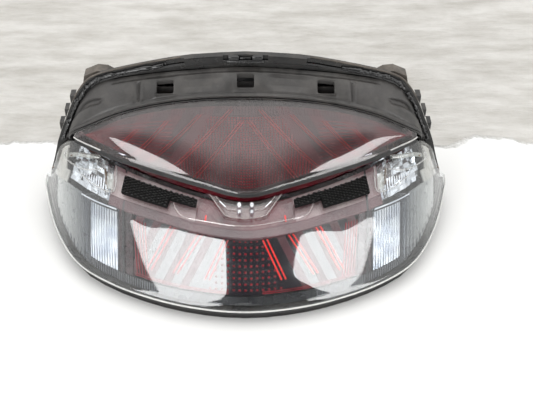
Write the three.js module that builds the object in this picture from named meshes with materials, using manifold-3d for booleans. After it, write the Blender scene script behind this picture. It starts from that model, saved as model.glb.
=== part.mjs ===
// Motorcycle tail light with built-in turn signals: a clear lower lens with a ledge, a smoked upper
// lens, a plastic shroud above it and a tub-shaped rear housing with four twist-lock bulb holders.
// Millimetres, +X right, +Y towards the front of the motorcycle, +Z up. The lamp stands on the flat
// underside of its housing, and its lenses face -Y and up.
import * as THREE from 'three';
import { mergeVertices } from 'three/addons/utils/BufferGeometryUtils.js';
import Module from 'manifold-3d';

// ---------------------------------------------------------------- driving dimensions
const GAP = 0.35;                  // air between neighbouring pieces
const LENS_THICKNESS = 2.2;
const SHROUD_THICKNESS = 2.4;
const INNER_LENS_THICKNESS = 1.6;
const INNER_LENS_DEPTH = 7;        // from the outer lens's surface to the inner one's
const FLUTE_DEPTH = 6;
const REFLECTOR_THICKNESS = 1.2;
const WALL = 3;                    // housing wall
const FLANGE_Y = 130;              // front face of the housing's upper flange
const FLANGE_DEPTH = 4;
const BACK_Y = 170;                // end face of the bosses on the back
const HALF_RED = 84;               // half width of the red middle section
const DIVIDER_THICKNESS = 1.4;
const FACE_BULGE = 1.5;            // how far the lower lens swells in front of its edges
const DOME_BULGE = 3.4;              // the same for the upper lens
const HOLDER_HOLE = 11.5;          // radius of the hole a bulb holder turns in
const HOLDER_Z = 36;
const TAIL_X = 40;
const TURN_X = 112;

// Feature lines of the right half, from the middle of the lamp to its side. Each is a smooth curve
// through these points and their mirror images.
const LENS_RIM = [
  [0, 0, 12], [30, 3, 12], [60, 11, 12], [92, 25.5, 12],
  [118, 45, 13], [137, 77, 15], [150, 116, 19], [151, 127, 23],
];
const LENS_CREST = [
  [0, 25, 55], [30, 31, 55], [60, 43, 54.5], [88, 55, 54],
  [112, 71, 51], [133, 93, 45], [145, 115, 33], [147, 127, 27],
];
const LEDGE_BACK = [
  [0, 53, 60], [27, 61, 60.5], [55, 72.5, 61.5], [84, 87, 63.5],
  [108, 102, 65.5], [124, 114, 65], [135, 124, 54], [140, 127, 47],
];
const DOME_FRONT = [
  [0, 54, 69], [30, 63.5, 69.6], [60, 75.5, 70.8], [88, 87, 72.8],
  [108, 97.5, 74.5], [117.5, 103.5, 74.8], [121.5, 106.5, 75.6],
];
const DOME_BACK = [
  [0, 109, 105], [30, 109, 104], [60, 108.3, 100.3], [88, 106, 94],
  [108, 105.8, 85], [117.5, 106.5, 79.8], [121.5, 107.3, 77],
];
const SHROUD_FRONT = [
  [0, 112.5, 104.8], [30, 112.5, 103.8], [60, 112, 100], [88, 110, 93.8],
  [108, 109.5, 85], [124, 112, 75], [129, 122, 62],
];
const SHROUD_BACK = [
  [0, 129.5, 119], [43, 129.5, 116], [75, 129.5, 112], [100, 129.5, 106.5],
  [114, 129.5, 96], [124, 129.5, 77], [134, 129.5, 50],
];
// Outer edge of the housing's flange, seen from the back of the lamp, as X and Z.
const FLANGE_EDGE = [
  [0, 128.5], [34.6, 126.5], [59, 122.5], [85.5, 116.5], [104, 111], [114, 104],
  [124.5, 88], [131.5, 72], [139, 55], [145, 35], [150, 20], [150.4, 8], [148, 0],
];

const PAINT = {
  housing: { color: 0x151516, roughness: 0.55 },
  shroud: { color: 0x4a4643, roughness: 0.6 },
  clear: { color: 0xe4e8ea, roughness: 0.08, transparent: true, opacity: 0.3 },
  smoke: { color: 0x8d8585, roughness: 0.08, transparent: true, opacity: 0.4 },
  red: { color: 0x8e1020, roughness: 0.15, transparent: true, opacity: 0.8 },
  chrome: { color: 0xd7dade, roughness: 0.08, metalness: 1 },
  rubber: { color: 0x17181a, roughness: 0.8 },
  foam: { color: 0x121212, roughness: 0.95 },
  steel: { color: 0xaeb1b5, roughness: 0.35, metalness: 1 },
  brass: { color: 0xc19a4a, roughness: 0.3, metalness: 1 },
  holder: { color: 0x2b2c2e, roughness: 0.6 },
  amber: { color: 0xe08a2a, roughness: 0.1, transparent: true, opacity: 0.5 },
};

const lamp = new THREE.Group();
const wasm = await Module();
wasm.setup();

// ---------------------------------------------------------------- solids
function addPart(name, geometry, paint) {
  const mesh = new THREE.Mesh(geometry, new THREE.MeshStandardMaterial(PAINT[paint]));
  mesh.name = name;
  lamp.add(mesh);
}

function toSolid(geometry) {
  const bare = geometry.clone();
  bare.deleteAttribute('normal');
  bare.deleteAttribute('uv');
  const merged = mergeVertices(bare, 1e-4);
  return new wasm.Manifold(new wasm.Mesh({
    numProp: 3,
    vertProperties: Float32Array.from(merged.attributes.position.array),
    triVerts: Uint32Array.from(merged.index.array),
  }));
}

function toGeometry(solid) {
  const cut = solid.getMesh();
  const geometry = new THREE.BufferGeometry();
  geometry.setAttribute('position', new THREE.BufferAttribute(Float32Array.from(cut.vertProperties), 3));
  geometry.setIndex(new THREE.BufferAttribute(Uint32Array.from(cut.triVerts), 1));
  geometry.computeVertexNormals();
  return geometry;
}

// A prism of an outline, standing along one axis from one coordinate to another.
function prism(outline, axis, from, to) {
  const shape = new THREE.Shape(outline.map(([a, b]) => new THREE.Vector2(a, b)));
  const geometry = new THREE.ExtrudeGeometry(shape, { depth: to - from, bevelEnabled: false });
  const X = new THREE.Vector3(1, 0, 0);
  const Y = new THREE.Vector3(0, 1, 0);
  const Z = new THREE.Vector3(0, 0, 1);
  const turn = new THREE.Matrix4();
  if (axis === 'x') turn.makeBasis(Y, Z, X).setPosition(from, 0, 0);
  if (axis === 'y') turn.makeBasis(X, Z, Y.clone().negate()).setPosition(0, to, 0);
  if (axis === 'z') turn.setPosition(0, 0, from);
  geometry.applyMatrix4(turn);
  return toSolid(geometry);
}

function box(low, high) {
  const size = high.map((value, k) => value - low[k]);
  const geometry = new THREE.BoxGeometry(...size);
  geometry.translate(...low.map((value, k) => value + size[k] / 2));
  return toSolid(geometry);
}

// A turned piece about an axis along Y. The profile lists [radius, y], starts and ends on the axis
// or closes on itself.
function turned(profile, x, z, segments = 16) {
  const points = profile.map(([radius, y]) => new THREE.Vector2(radius, y));
  const geometry = new THREE.LatheGeometry(points, segments);
  geometry.translate(x, 0, z);
  return outward(geometry);
}

function signedVolume(geometry) {
  const place = geometry.attributes.position;
  const index = geometry.index;
  const corner = [new THREE.Vector3(), new THREE.Vector3(), new THREE.Vector3()];
  let volume = 0;
  for (let face = 0; face < index.count; face += 3) {
    corner.forEach((point, k) => point.fromBufferAttribute(place, index.getX(face + k)));
    volume += corner[0].dot(corner[1].clone().cross(corner[2])) / 6;
  }
  return volume;
}

// The same closed surface with its faces pointing out.
function outward(geometry) {
  if (signedVolume(geometry) < 0) {
    const index = geometry.index;
    for (let face = 0; face < index.count; face += 3) {
      const second = index.getX(face + 1);
      index.setX(face + 1, index.getX(face + 2));
      index.setX(face + 2, second);
    }
  }
  geometry.computeVertexNormals();
  return geometry;
}

// ---------------------------------------------------------------- curves and surfaces
// A line across the whole lamp, from its left end (0) to its right end (1).
function line(half) {
  const right = half.map(([x, y, z]) => new THREE.Vector3(x, y, z));
  const left = right.slice(1).reverse().map((p) => new THREE.Vector3(-p.x, p.y, p.z));
  return new THREE.CatmullRomCurve3([...left, ...right], false, 'catmullrom', 0.5);
}

function bent(curveA, curveB, bulge) {
  return (u, v) => {
    const a = curveA.getPoint(u);
    const b = curveB.getPoint(u);
    const across = b.clone().sub(a);
    const outwards = curveA.getTangent(u).cross(across).normalize();
    const swell = bulge * 4 * v * (1 - v) * Math.sqrt(Math.sin(Math.PI * u));
    return a.addScaledVector(across, v).addScaledVector(outwards, swell);
  };
}

// A point above the surface, along its outward normal.
function lifted(surface, u, v, height) {
  const step = 0.004;
  const along = surface(u + step, v).sub(surface(u - step, v));
  const across = surface(u, v + step).sub(surface(u, v - step));
  return surface(u, v).addScaledVector(along.cross(across).normalize(), height);
}

function gridOf(columns, rows, pointAt) {
  return columns.map((u) => rows.map((v) => pointAt(u, v)));
}

function steps(from, to, count) {
  return Array.from({ length: count + 1 }, (_, k) => from + ((to - from) * k) / count);
}

// The grid moved along its own normals, with mitred corners.
function offsetGrid(grid, distance) {
  const faceNormal = (i, j) => {
    const corner = grid[i][j];
    const along = grid[i + 1][j].clone().sub(corner);
    const across = grid[i][j + 1].clone().sub(corner);
    return along.cross(across).normalize();
  };
  return grid.map((column, i) => column.map((point, j) => {
    const faces = [];
    for (const a of [i - 1, i]) {
      for (const b of [j - 1, j]) {
        if (a >= 0 && b >= 0 && a < grid.length - 1 && b < column.length - 1) faces.push(faceNormal(a, b));
      }
    }
    const normal = faces.reduce((sum, n) => sum.add(n), new THREE.Vector3()).normalize();
    const lean = faces.reduce((sum, n) => sum + n.dot(normal), 0) / faces.length;
    return point.clone().addScaledVector(normal, distance / Math.max(0.5, lean));
  }));
}

// A closed sheet between two grids of the same size.
function sheet(top, bottom) {
  const columns = top.length;
  const rows = top[0].length;
  const place = [...top.flat(), ...bottom.flat()].flatMap((p) => [p.x, p.y, p.z]);
  const at = (layer, i, j) => layer * columns * rows + i * rows + j;
  const index = [];
  const quad = (a, b, c, d) => index.push(a, b, c, a, c, d);
  for (let i = 0; i < columns - 1; i += 1) {
    for (let j = 0; j < rows - 1; j += 1) {
      quad(at(0, i, j), at(0, i + 1, j), at(0, i + 1, j + 1), at(0, i, j + 1));
      quad(at(1, i, j), at(1, i, j + 1), at(1, i + 1, j + 1), at(1, i + 1, j));
    }
    quad(at(0, i, 0), at(1, i, 0), at(1, i + 1, 0), at(0, i + 1, 0));
    quad(at(0, i, rows - 1), at(0, i + 1, rows - 1), at(1, i + 1, rows - 1), at(1, i, rows - 1));
  }
  for (let j = 0; j < rows - 1; j += 1) {
    quad(at(0, 0, j), at(0, 0, j + 1), at(1, 0, j + 1), at(1, 0, j));
    quad(at(0, columns - 1, j), at(1, columns - 1, j), at(1, columns - 1, j + 1), at(0, columns - 1, j + 1));
  }
  const geometry = new THREE.BufferGeometry();
  geometry.setAttribute('position', new THREE.Float32BufferAttribute(place, 3));
  geometry.setIndex(index);
  return outward(geometry);
}

// A sheet that lies between two heights over a surface.
function layer(surface, columns, rows, low, high) {
  const over = (height) => gridOf(columns, rows, (u, v) => lifted(surface, u, v, height));
  return sheet(over(high), over(low));
}

const rim = line(LENS_RIM);
const crest = line(LENS_CREST);
const ledgeBack = line(LEDGE_BACK);
const face = bent(rim, crest, FACE_BULGE);
const ledge = bent(crest, ledgeBack, 0);
const dome = bent(line(DOME_FRONT), line(DOME_BACK), DOME_BULGE);
const shroudFace = bent(line(SHROUD_FRONT), line(SHROUD_BACK), 1.5);

// The curve's place (0 to 1) where it reaches a given X.
function placeOfX(curve, x) {
  let low = 0;
  let high = 1;
  for (let k = 0; k < 30; k += 1) {
    const middle = (low + high) / 2;
    if (curve.getPoint(middle).x < x) low = middle;
    else high = middle;
  }
  return low;
}

// The lower lens as one surface: v from 0 to 1 is the face, from 1 to 2 the ledge.
function lowerSurface(u, v) {
  return v <= 1 ? face(u, v) : ledge(u, v - 1);
}

// ---------------------------------------------------------------- lenses
function lowerLensGrid(columns, faceRows, ledgeRows) {
  return gridOf(columns, [...faceRows, ...ledgeRows.map((v) => v + 1)], lowerSurface);
}

function addOuterLenses() {
  const lower = lowerLensGrid(steps(0, 1, 28), steps(0, 1, 4), steps(0.5, 1, 1));
  addPart('lower_outer_lens', sheet(lower, offsetGrid(lower, -LENS_THICKNESS)), 'clear');
  const upper = gridOf(steps(0, 1, 24), steps(0, 1, 5), dome);
  addPart('upper_outer_lens', sheet(upper, offsetGrid(upper, -LENS_THICKNESS)), 'smoke');
}

// The wall below the upper lens: a black gasket and under it the red skirt of the inner lens.
function addLensWall() {
  const top = line(DOME_FRONT.slice(0, 6));
  const foot = line(LEDGE_BACK.slice(0, 6));
  const beside = (curve, u, out, down) => {
    const point = curve.getPoint(u);
    const tangent = curve.getTangent(u);
    const away = new THREE.Vector3(tangent.y, -tangent.x, 0).normalize();
    return point.addScaledVector(away, out).add(new THREE.Vector3(0, 0, -down));
  };
  const wall = (upperLine, lowerLine, thickness) => {
    const grid = steps(0, 1, 24).map((u) => [lowerLine(u), upperLine(u)]);
    return sheet(grid, offsetGrid(grid, -thickness));
  };
  const gasket = wall((u) => beside(top, u, 1, 0.7), (u) => beside(top, u, 1.3, 3.2), 0.8);
  addPart('upper_lens_gasket', gasket, 'rubber');
  const skirt = wall((u) => beside(top, u, 1.1, 4.3), (u) => beside(foot, u, -0.7, -0.5), 1);
  addPart('upper_lens_skirt', skirt, 'red');
}

function addInnerLenses() {
  const upper = gridOf(steps(0.1, 0.9, 16), steps(0.13, 0.88, 4), dome);
  const under = (grid, depth) => sheet(
    offsetGrid(grid, -depth),
    offsetGrid(grid, -depth - INNER_LENS_THICKNESS),
  );
  addPart('upper_inner_lens', under(upper, INNER_LENS_DEPTH), 'red');

  const edge = placeOfX(crest, HALF_RED - DIVIDER_THICKNESS - 3);
  const middle = lowerLensGrid(steps(1 - edge, edge, 14), steps(0.15, 1, 3), steps(0.4, 0.8, 1));
  const front = offsetGrid(middle, -INNER_LENS_DEPTH);
  addPart('lower_inner_lens', sheet(front, offsetGrid(front, -INNER_LENS_THICKNESS)), 'red');

  const inside = placeOfX(rim, HALF_RED + DIVIDER_THICKNESS + 8);
  for (const [side, columns] of [
    ['left', steps(1 - 0.86, 1 - inside, 7)],
    ['right', steps(inside, 0.86, 7)],
  ]) {
    const grid = gridOf(columns, steps(0.14, 0.86, 3), face);
    addPart(`flute_lens_${side}`, under(grid, FLUTE_DEPTH), 'clear');
  }
}

// ---------------------------------------------------------------- shroud
const SLOT_SIZE = { x: 12, y: 7.4 };
const SLOTS = [
  { x: -56, y: 119.7 },
  { x: 0, y: 120.3 },
  { x: 56, y: 119.7 },
];

function addShroud() {
  const grid = gridOf(steps(0, 1, 28), steps(0, 1, 3), shroudFace);
  let solid = toSolid(sheet(grid, offsetGrid(grid, -SHROUD_THICKNESS)));
  for (const slot of SLOTS) {
    const low = [slot.x - SLOT_SIZE.x / 2, slot.y - SLOT_SIZE.y / 2, 80];
    const high = [slot.x + SLOT_SIZE.x / 2, slot.y + SLOT_SIZE.y / 2, 140];
    solid = solid.subtract(box(low, high));
  }
  addPart('upper_shroud', toGeometry(solid), 'shroud');
}

// ---------------------------------------------------------------- rear housing
function smoothOutline(points, count) {
  const curve = new THREE.SplineCurve(points.map(([a, b]) => new THREE.Vector2(a, b)));
  return curve.getPoints(count).map((p) => [p.x, p.y]);
}

// A half outline, given from its end on the middle line to its other end there, and its mirror image.
function mirrored(half) {
  const other = half.slice(1, -1).reverse().map(([a, b]) => [-a, b]);
  return [...half, ...other];
}

// A half outline moved inwards, with its two ends kept on the middle line.
function inset(half, distance) {
  const area = half.reduce((sum, [a, b], k) => {
    const [c, d] = half[(k + 1) % half.length];
    return sum + a * d - b * c;
  }, 0);
  const inwards = Math.sign(area) * distance;
  return half.map(([a, b], k) => {
    const before = half[Math.max(0, k - 1)];
    const after = half[Math.min(half.length - 1, k + 1)];
    const along = [after[0] - before[0], after[1] - before[1]];
    const length = Math.hypot(...along);
    const onMiddle = Math.abs(a) < 1e-6;
    return [onMiddle ? 0 : a - (along[1] / length) * inwards, b + (along[0] / length) * inwards];
  });
}

// The housing seen from above, from the middle of its front edge round to the middle of its back.
function planHalf() {
  const front = steps(0.5, 0.97, 14).map((u) => rim.getPoint(u)).map((p) => [p.x, p.y]);
  const corners = [[150.6, 128], [149, 140], [142, 151], [126, 160], [98, 165], [60, 167.5], [0, 168]];
  const back = smoothOutline(corners, 10);
  return [...front, ...back];
}

const PLAN = planHalf();
const FLANGE_CURVE = smoothOutline(FLANGE_EDGE, 22);

// The housing seen from the front, a distance inside its outer edge and down to a floor.
function frontView(distance, floor) {
  const side = inset(FLANGE_CURVE, distance).filter(([, z]) => z > floor + 0.5);
  return mirrored([...side, [side.at(-1)[0], floor], [0, floor]]);
}

const OPENING = [
  ...smoothOutline(SHROUD_BACK.map(([x, , z]) => [x, z]), 12),
  [141, 30], [143, 18], [141, WALL], [0, WALL],
];
// The housing seen from the side: a low pan under the lens, the flange, and the tub behind it.
const PAN_SIDE = [
  [-4, 0], [-4, 10], [45, 10.6], [77, 12.6], [116, 16.6], [FLANGE_Y + 1, 19], [FLANGE_Y + 1, 0],
];
// The part of the pan whose walls stand further in than its rim, seen from the side.
const FOOT_SIDE = [
  [-10, -1], [-10, 6.4], [45, 7], [77, 9], [116, 12.4], [FLANGE_Y - 9, 13], [FLANGE_Y - 9, -1],
];
const FOOT_INSET = 2.7;
const DIVIDER_FOOT = 12;            // height of the dividers' lower edge, above the pan's step
const TUB_SIDE = [
  [FLANGE_Y + FLANGE_DEPTH - 1, 0], [FLANGE_Y + FLANGE_DEPTH - 1, 118], [140, 108], [150, 97],
  [160, 84], [167, 62], [168, 50], [168, 14], [165, 4], [158, 0],
];
const MOUTH_TOP = 100;              // top of the way through the flange into the tub
const RECESS_DEPTH = 2;             // how deep the shroud's back edge sits in the flange
const TUB_INSET = 8;                // how far the tub's walls stand inside the flange's edge

function ring(x, z, outer, inner, from, to) {
  return toSolid(turned([[inner, from], [outer, from], [outer, to], [inner, to], [inner, from]], x, z));
}

function rod(x, z, radius, from, to, segments = 16) {
  return toSolid(turned([[0, from], [radius, from], [radius, to], [0, to]], x, z, segments));
}

const HOLDERS = [
  { name: 'tail_left', x: -TAIL_X, kind: 'tail' },
  { name: 'tail_right', x: TAIL_X, kind: 'tail' },
  { name: 'turn_left', x: -TURN_X, kind: 'turn' },
  { name: 'turn_right', x: TURN_X, kind: 'turn' },
];
const SCREWS = [
  { x: -76, z: 87 }, { x: 76, z: 87 }, { x: -76, z: 14 }, { x: 76, z: 14 },
];
const INSERTS = [
  { side: 'left', x: -48, z: 90 },
  { side: 'right', x: 48, z: 90 },
];
const VENT = { x: 0, z: 62 };
const BOSS_FRONT = 158;             // where the bosses on the back start, inside the wall
const LUG_COUNT = 3;
const BLADE_HALF_HEIGHT = 2.4;      // of the brass contacts
const SEAL_LOW = 101;               // the flange's groove and its seal end at this height

function lugBox(x, z, angle, reach, halfWidth, from, to) {
  const geometry = new THREE.BoxGeometry(reach, to - from, halfWidth * 2);
  geometry.translate(reach / 2, (from + to) / 2, 0);
  geometry.rotateY(angle);
  geometry.translate(x, 0, z);
  return toSolid(geometry);
}

// The room round the pan's foot, beyond a distance inside the housing's outline.
function outsideFoot(distance, raised) {
  const side = FOOT_SIDE.map(([y, z]) => [y, z > 0 ? z + raised : z]);
  return prism(side, 'x', -170, 170).subtract(prism(mirrored(inset(PLAN, distance)), 'z', -2, 40));
}

function addHousing() {
  const tubBack = FLANGE_Y + FLANGE_DEPTH;
  const flange = prism(frontView(0, 0), 'y', FLANGE_Y, tubBack);
  const hull = prism(PAN_SIDE, 'x', -170, 170)
    .intersect(prism(frontView(0, 0), 'y', -10, 190))
    .add(flange)
    .add(prism(TUB_SIDE, 'x', -170, 170).intersect(prism(frontView(TUB_INSET, 0), 'y', -10, 190)))
    .intersect(prism(mirrored(inset(PLAN, -0.2)), 'z', 0, 140));
  const planInside = prism(mirrored(inset(PLAN, WALL)), 'z', WALL, 140);
  const pan = planInside
    .intersect(box([-170, -10, WALL], [170, FLANGE_Y + 0.1, 140]))
    .subtract(outsideFoot(FOOT_INSET + WALL, WALL));
  const opening = (to) => prism(mirrored(OPENING), 'y', FLANGE_Y - 1, to);
  const mouth = opening(tubBack + 0.1)
    .intersect(prism(frontView(TUB_INSET + WALL, WALL), 'y', FLANGE_Y - 2, tubBack + 1))
    .intersect(box([-170, 0, 0], [170, 200, MOUTH_TOP]))
    .add(opening(FLANGE_Y + RECESS_DEPTH))
    .intersect(planInside);
  const insideBack = TUB_SIDE.slice(2).map(([y, z]) => [y - WALL, z - WALL * (z > 55)]);
  const tub = planInside
    .intersect(prism(frontView(TUB_INSET + WALL, WALL), 'y', tubBack, 190))
    .intersect(prism([[tubBack, 0], [tubBack, MOUTH_TOP], ...insideBack], 'x', -170, 170));
  let solid = hull.subtract(outsideFoot(FOOT_INSET, 0)).subtract(pan).subtract(mouth).subtract(tub);

  const glueChannel = prism(frontView(3, WALL), 'y', FLANGE_Y - 1, FLANGE_Y + 1.6)
    .subtract(prism(frontView(5.6, WALL), 'y', FLANGE_Y - 2, FLANGE_Y + 3))
    .intersect(box([-170, 0, SEAL_LOW - 1], [170, 200, 140]));
  solid = solid.subtract(glueChannel);

  for (const { x } of HOLDERS) {
    solid = solid.add(rod(x, HOLDER_Z, HOLDER_HOLE + 4, BOSS_FRONT, BACK_Y, 20));
    solid = solid.subtract(rod(x, HOLDER_Z, HOLDER_HOLE, BOSS_FRONT - 8, BACK_Y + 1, 20));
    solid = solid.subtract(rod(x, HOLDER_Z, HOLDER_HOLE + 3.2, BOSS_FRONT - 18, BOSS_FRONT, 20));
    for (let k = 0; k < LUG_COUNT; k += 1) {
      const angle = (k / LUG_COUNT) * 2 * Math.PI + Math.PI / 4;
      solid = solid.subtract(lugBox(x, HOLDER_Z, angle, HOLDER_HOLE + 2.4, 3, BOSS_FRONT - 8, BACK_Y + 1));
    }
  }
  for (const { x, z } of SCREWS) solid = solid.add(rod(x, z, 6.5, BOSS_FRONT - 6, BACK_Y));
  for (const { x, z } of INSERTS) {
    solid = solid.add(rod(x, z, 9, BOSS_FRONT - 6, BACK_Y));
    solid = solid.subtract(rod(x, z, 5, BACK_Y - 10, BACK_Y + 1));
  }
  solid = solid.add(rod(VENT.x, VENT.z, 6, BOSS_FRONT, BACK_Y - 1));
  for (const x of [-92, -20, 20, 92]) {
    const side = [[150, 26], [BACK_Y - 0.5, 30], [BACK_Y - 0.5, 62], [164, 82], [150, 98]];
    const rib = prism(side, 'x', x - 1, x + 1).intersect(prism(frontView(TUB_INSET, 0), 'y', -10, 190));
    solid = solid.add(rib.subtract(tub));
  }
  addPart('rear_housing', toGeometry(solid), 'housing');
}

// ---------------------------------------------------------------- reflectors and dividers
// The room under the lower lens, a given distance inside its outer surface.
function lowerRoom(margin) {
  const behind = FLANGE_Y - 1 + margin;
  const floor = WALL + 1 - margin;
  const sections = steps(0.1, 0.9, 16).map((u) => {
    const [a, b, c] = [rim, crest, ledgeBack].map((curve) => curve.getPoint(u));
    return [
      new THREE.Vector3(a.x, a.y, floor), a, face(u, 0.5), b, c,
      new THREE.Vector3(c.x, behind, c.z), new THREE.Vector3(a.x, behind, floor),
    ];
  });
  return toSolid(loft(offsetGrid(sections, -margin)));
}

// The room under the upper lens.
function upperRoom(margin) {
  const front = line(DOME_FRONT);
  const back = line(DOME_BACK);
  const behind = FLANGE_Y - 1 + margin;
  const floor = 64 - margin;
  const sections = steps(0.06, 0.94, 14).map((u) => {
    const [a, b] = [front.getPoint(u), back.getPoint(u)];
    return [
      new THREE.Vector3(a.x, a.y, floor), a, dome(u, 0.5), b,
      new THREE.Vector3(b.x, behind, b.z), new THREE.Vector3(a.x, behind, floor),
    ];
  });
  return toSolid(loft(offsetGrid(sections, -margin)));
}

// A closed body through sections of the same number of points, with flat ends.
function loft(sections) {
  const count = sections[0].length;
  const place = sections.flat().flatMap((p) => [p.x, p.y, p.z]);
  const index = [];
  for (let i = 0; i < sections.length - 1; i += 1) {
    for (let j = 0; j < count; j += 1) {
      const next = (j + 1) % count;
      const [a, b] = [i * count + j, i * count + next];
      index.push(a, b, b + count, a, b + count, a + count);
    }
  }
  for (const [section, flip] of [[0, true], [sections.length - 1, false]]) {
    const base = section * count;
    for (let j = 1; j < count - 1; j += 1) {
      if (flip) index.push(base, base + j + 1, base + j);
      else index.push(base, base + j, base + j + 1);
    }
  }
  const geometry = new THREE.BufferGeometry();
  geometry.setAttribute('position', new THREE.Float32BufferAttribute(place, 3));
  geometry.setIndex(index);
  return outward(geometry);
}

// An open trough of constant section: the outline and the same outline one wall further out.
function trough(outline, thickness, from, to) {
  const outer = outline.map(([a, b], k) => {
    const before = outline[Math.max(0, k - 1)];
    const after = outline[Math.min(outline.length - 1, k + 1)];
    const length = Math.hypot(after[0] - before[0], after[1] - before[1]);
    const away = [(after[1] - before[1]) / length, (before[0] - after[0]) / length];
    return [a + away[0] * thickness, b + away[1] * thickness];
  });
  return prism([...outline, ...outer.reverse()], 'x', from, to);
}

function addReflectors() {
  const room = lowerRoom(10);
  const section = [[10, 8], [60, 6.5], [104, 8.5], [120, 18], [124, 34], [120, 48], [108, 54], [92, 55]];
  const bowl = smoothOutline(section, 11);
  const holes = HOLDERS.map(({ x }) => rod(x, HOLDER_Z, HOLDER_HOLE + 1.5, 100, 140));
  const cut = (solid) => holes.reduce((sum, hole) => sum.subtract(hole), solid);
  const middle = trough(bowl, REFLECTOR_THICKNESS, -HALF_RED + 2, HALF_RED - 2).intersect(room);
  addPart('lower_reflector', toGeometry(cut(middle)), 'chrome');
  for (const [side, from, to] of [['left', -145, -HALF_RED - 2], ['right', HALF_RED + 2, 145]]) {
    const bay = trough(bowl, REFLECTOR_THICKNESS, from, to).intersect(room);
    addPart(`turn_reflector_${side}`, toGeometry(cut(bay)), 'chrome');
  }

  const back = smoothOutline([[70, 67], [100, 66], [118, 70], [122, 82], [114, 92], [104, 93]], 9);
  const upper = trough(back, REFLECTOR_THICKNESS, -90, 90).intersect(upperRoom(10));
  addPart('upper_reflector', toGeometry(upper), 'chrome');

  const plateRoom = lowerRoom(4);
  for (const [side, x] of [['left', -HALF_RED], ['right', HALF_RED]]) {
    const half = DIVIDER_THICKNESS / 2;
    const plate = box([x - half, 0, DIVIDER_FOOT], [x + half, 116, 70]).intersect(plateRoom);
    addPart(`divider_${side}`, toGeometry(plate), 'chrome');
  }
}

// ---------------------------------------------------------------- pieces on and under the ledge
const PAD = { outside: 0.29, stepAt: 0.371, end: 0.416, height: 4 };

function mirrorPlaces(columns, side) {
  return side === 'left' ? columns : columns.map((u) => 1 - u).reverse();
}

function addLedgePieces() {
  for (const side of ['left', 'right']) {
    const broad = steps(PAD.outside, PAD.stepAt - 0.001, 7);
    const tail = steps(PAD.stepAt + 0.001, PAD.end, 4);
    const columns = mirrorPlaces([...broad, ...tail], side);
    const fromMiddle = (u) => Math.min(u, 1 - u);
    const rowAt = (u, t) => {
      const [front, back] = fromMiddle(u) < PAD.stepAt ? [0.34, 0.76] : [0.56, 0.77];
      return front + (back - front) * t;
    };
    const padAt = (height) => gridOf(columns, [0, 0.5, 1], (u, t) => lifted(ledge, u, rowAt(u, t), height));
    addPart(`foam_pad_${side}`, sheet(padAt(GAP + PAD.height), padAt(GAP)), 'foam');

    const barColumns = mirrorPlaces(steps(0.155, 0.235, 6), side);
    addPart(`pod_bar_${side}`, layer(ledge, barColumns, [0.58, 0.68, 0.78], GAP, 2.6), 'clear');

    const facetColumns = mirrorPlaces(steps(0.195, 0.268, 6), side);
    const facetDepth = (u, v) => -4.5 - 3 * Math.abs(Math.sin((u + v) * 40));
    const facets = gridOf(facetColumns, steps(0.3, 0.8, 4), (u, v) => lifted(ledge, u, v, facetDepth(u, v)));
    const facetBase = gridOf(facetColumns, steps(0.3, 0.8, 4), (u, v) => lifted(ledge, u, v, -8.7));
    addPart(`corner_reflector_${side}`, sheet(facets, facetBase), 'chrome');
  }

  const halfWidth = (v) => 13 + 11 * ((v - 0.52) / 0.46);
  const plateAt = (height) => gridOf(steps(-1, 1, 8), [0.52, 0.75, 0.98], (s, v) => {
    const u = placeOfX(crest, s * halfWidth(v) * 0.98);
    return lifted(ledge, u, v, height);
  });
  addPart('center_bracket', sheet(plateAt(GAP + 1.8), plateAt(GAP)), 'clear');
  for (const [side, x] of [['left', -4.2], ['right', 4.2]]) {
    const base = ledge(placeOfX(crest, x), 0.7);
    const profile = [[0, 0], [1.7, 0], [1.7, 4.6], [1.2, 5.4], [0, 5.8]]
      .map(([radius, height]) => new THREE.Vector2(radius, height));
    const pin = new THREE.LatheGeometry(profile, 12);
    pin.rotateX(Math.PI / 2);
    pin.translate(x, base.y, base.z + GAP + 2.6);
    addPart(`locating_pin_${side}`, outward(pin), 'chrome');
  }
}

// ---------------------------------------------------------------- outside fittings
const EAR_OUTLINE = [
  [92, 107], [98, 111], [105, 111.8], [114.5, 107.5], [117, 96], [106, 91], [92, 94],
];
const CLIP_HEIGHTS = [88, 76, 64];
const CLIP_REACH = 1.6;             // how far a side clip's hook stands out of the flange

function addEdgeFittings() {
  const behind = FLANGE_Y + FLANGE_DEPTH + GAP;
  const clearance = prism(frontView(-GAP, 0), 'y', 100, 190);
  const overTub = prism(TUB_SIDE.map(([y, z]) => [y, z + GAP]), 'x', -170, 170)
    .intersect(prism(frontView(TUB_INSET - GAP, 0), 'y', 100, 190));
  for (const [side, sign] of [['left', -1], ['right', 1]]) {
    const outline = EAR_OUTLINE.map(([x, z]) => [x * sign, z]);
    const ear = prism(outline, 'y', behind, behind + 9).subtract(overTub);
    addPart(`mount_ear_${side}`, toGeometry(ear), 'shroud');

    CLIP_HEIGHTS.forEach((z, k) => {
      const x = edgeX(z);
      const low = [Math.min(sign * (x - 4), sign * (x + CLIP_REACH)), 131, z - 4.5];
      const high = [Math.max(sign * (x - 4), sign * (x + CLIP_REACH)), 139, z + 4.5];
      const hook = box(low, high).subtract(clearance);
      addPart(`side_clip_${side}_${k + 1}`, toGeometry(hook), 'housing');
    });
  }

  const band = prism(frontView(3.35, WALL), 'y', FLANGE_Y - 0.8, FLANGE_Y + 1.2)
    .subtract(prism(frontView(5.25, WALL), 'y', FLANGE_Y - 2, FLANGE_Y + 3))
    .intersect(box([-170, 0, SEAL_LOW], [170, 200, 140]));
  addPart('flange_seal', toGeometry(band), 'rubber');
}

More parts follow.
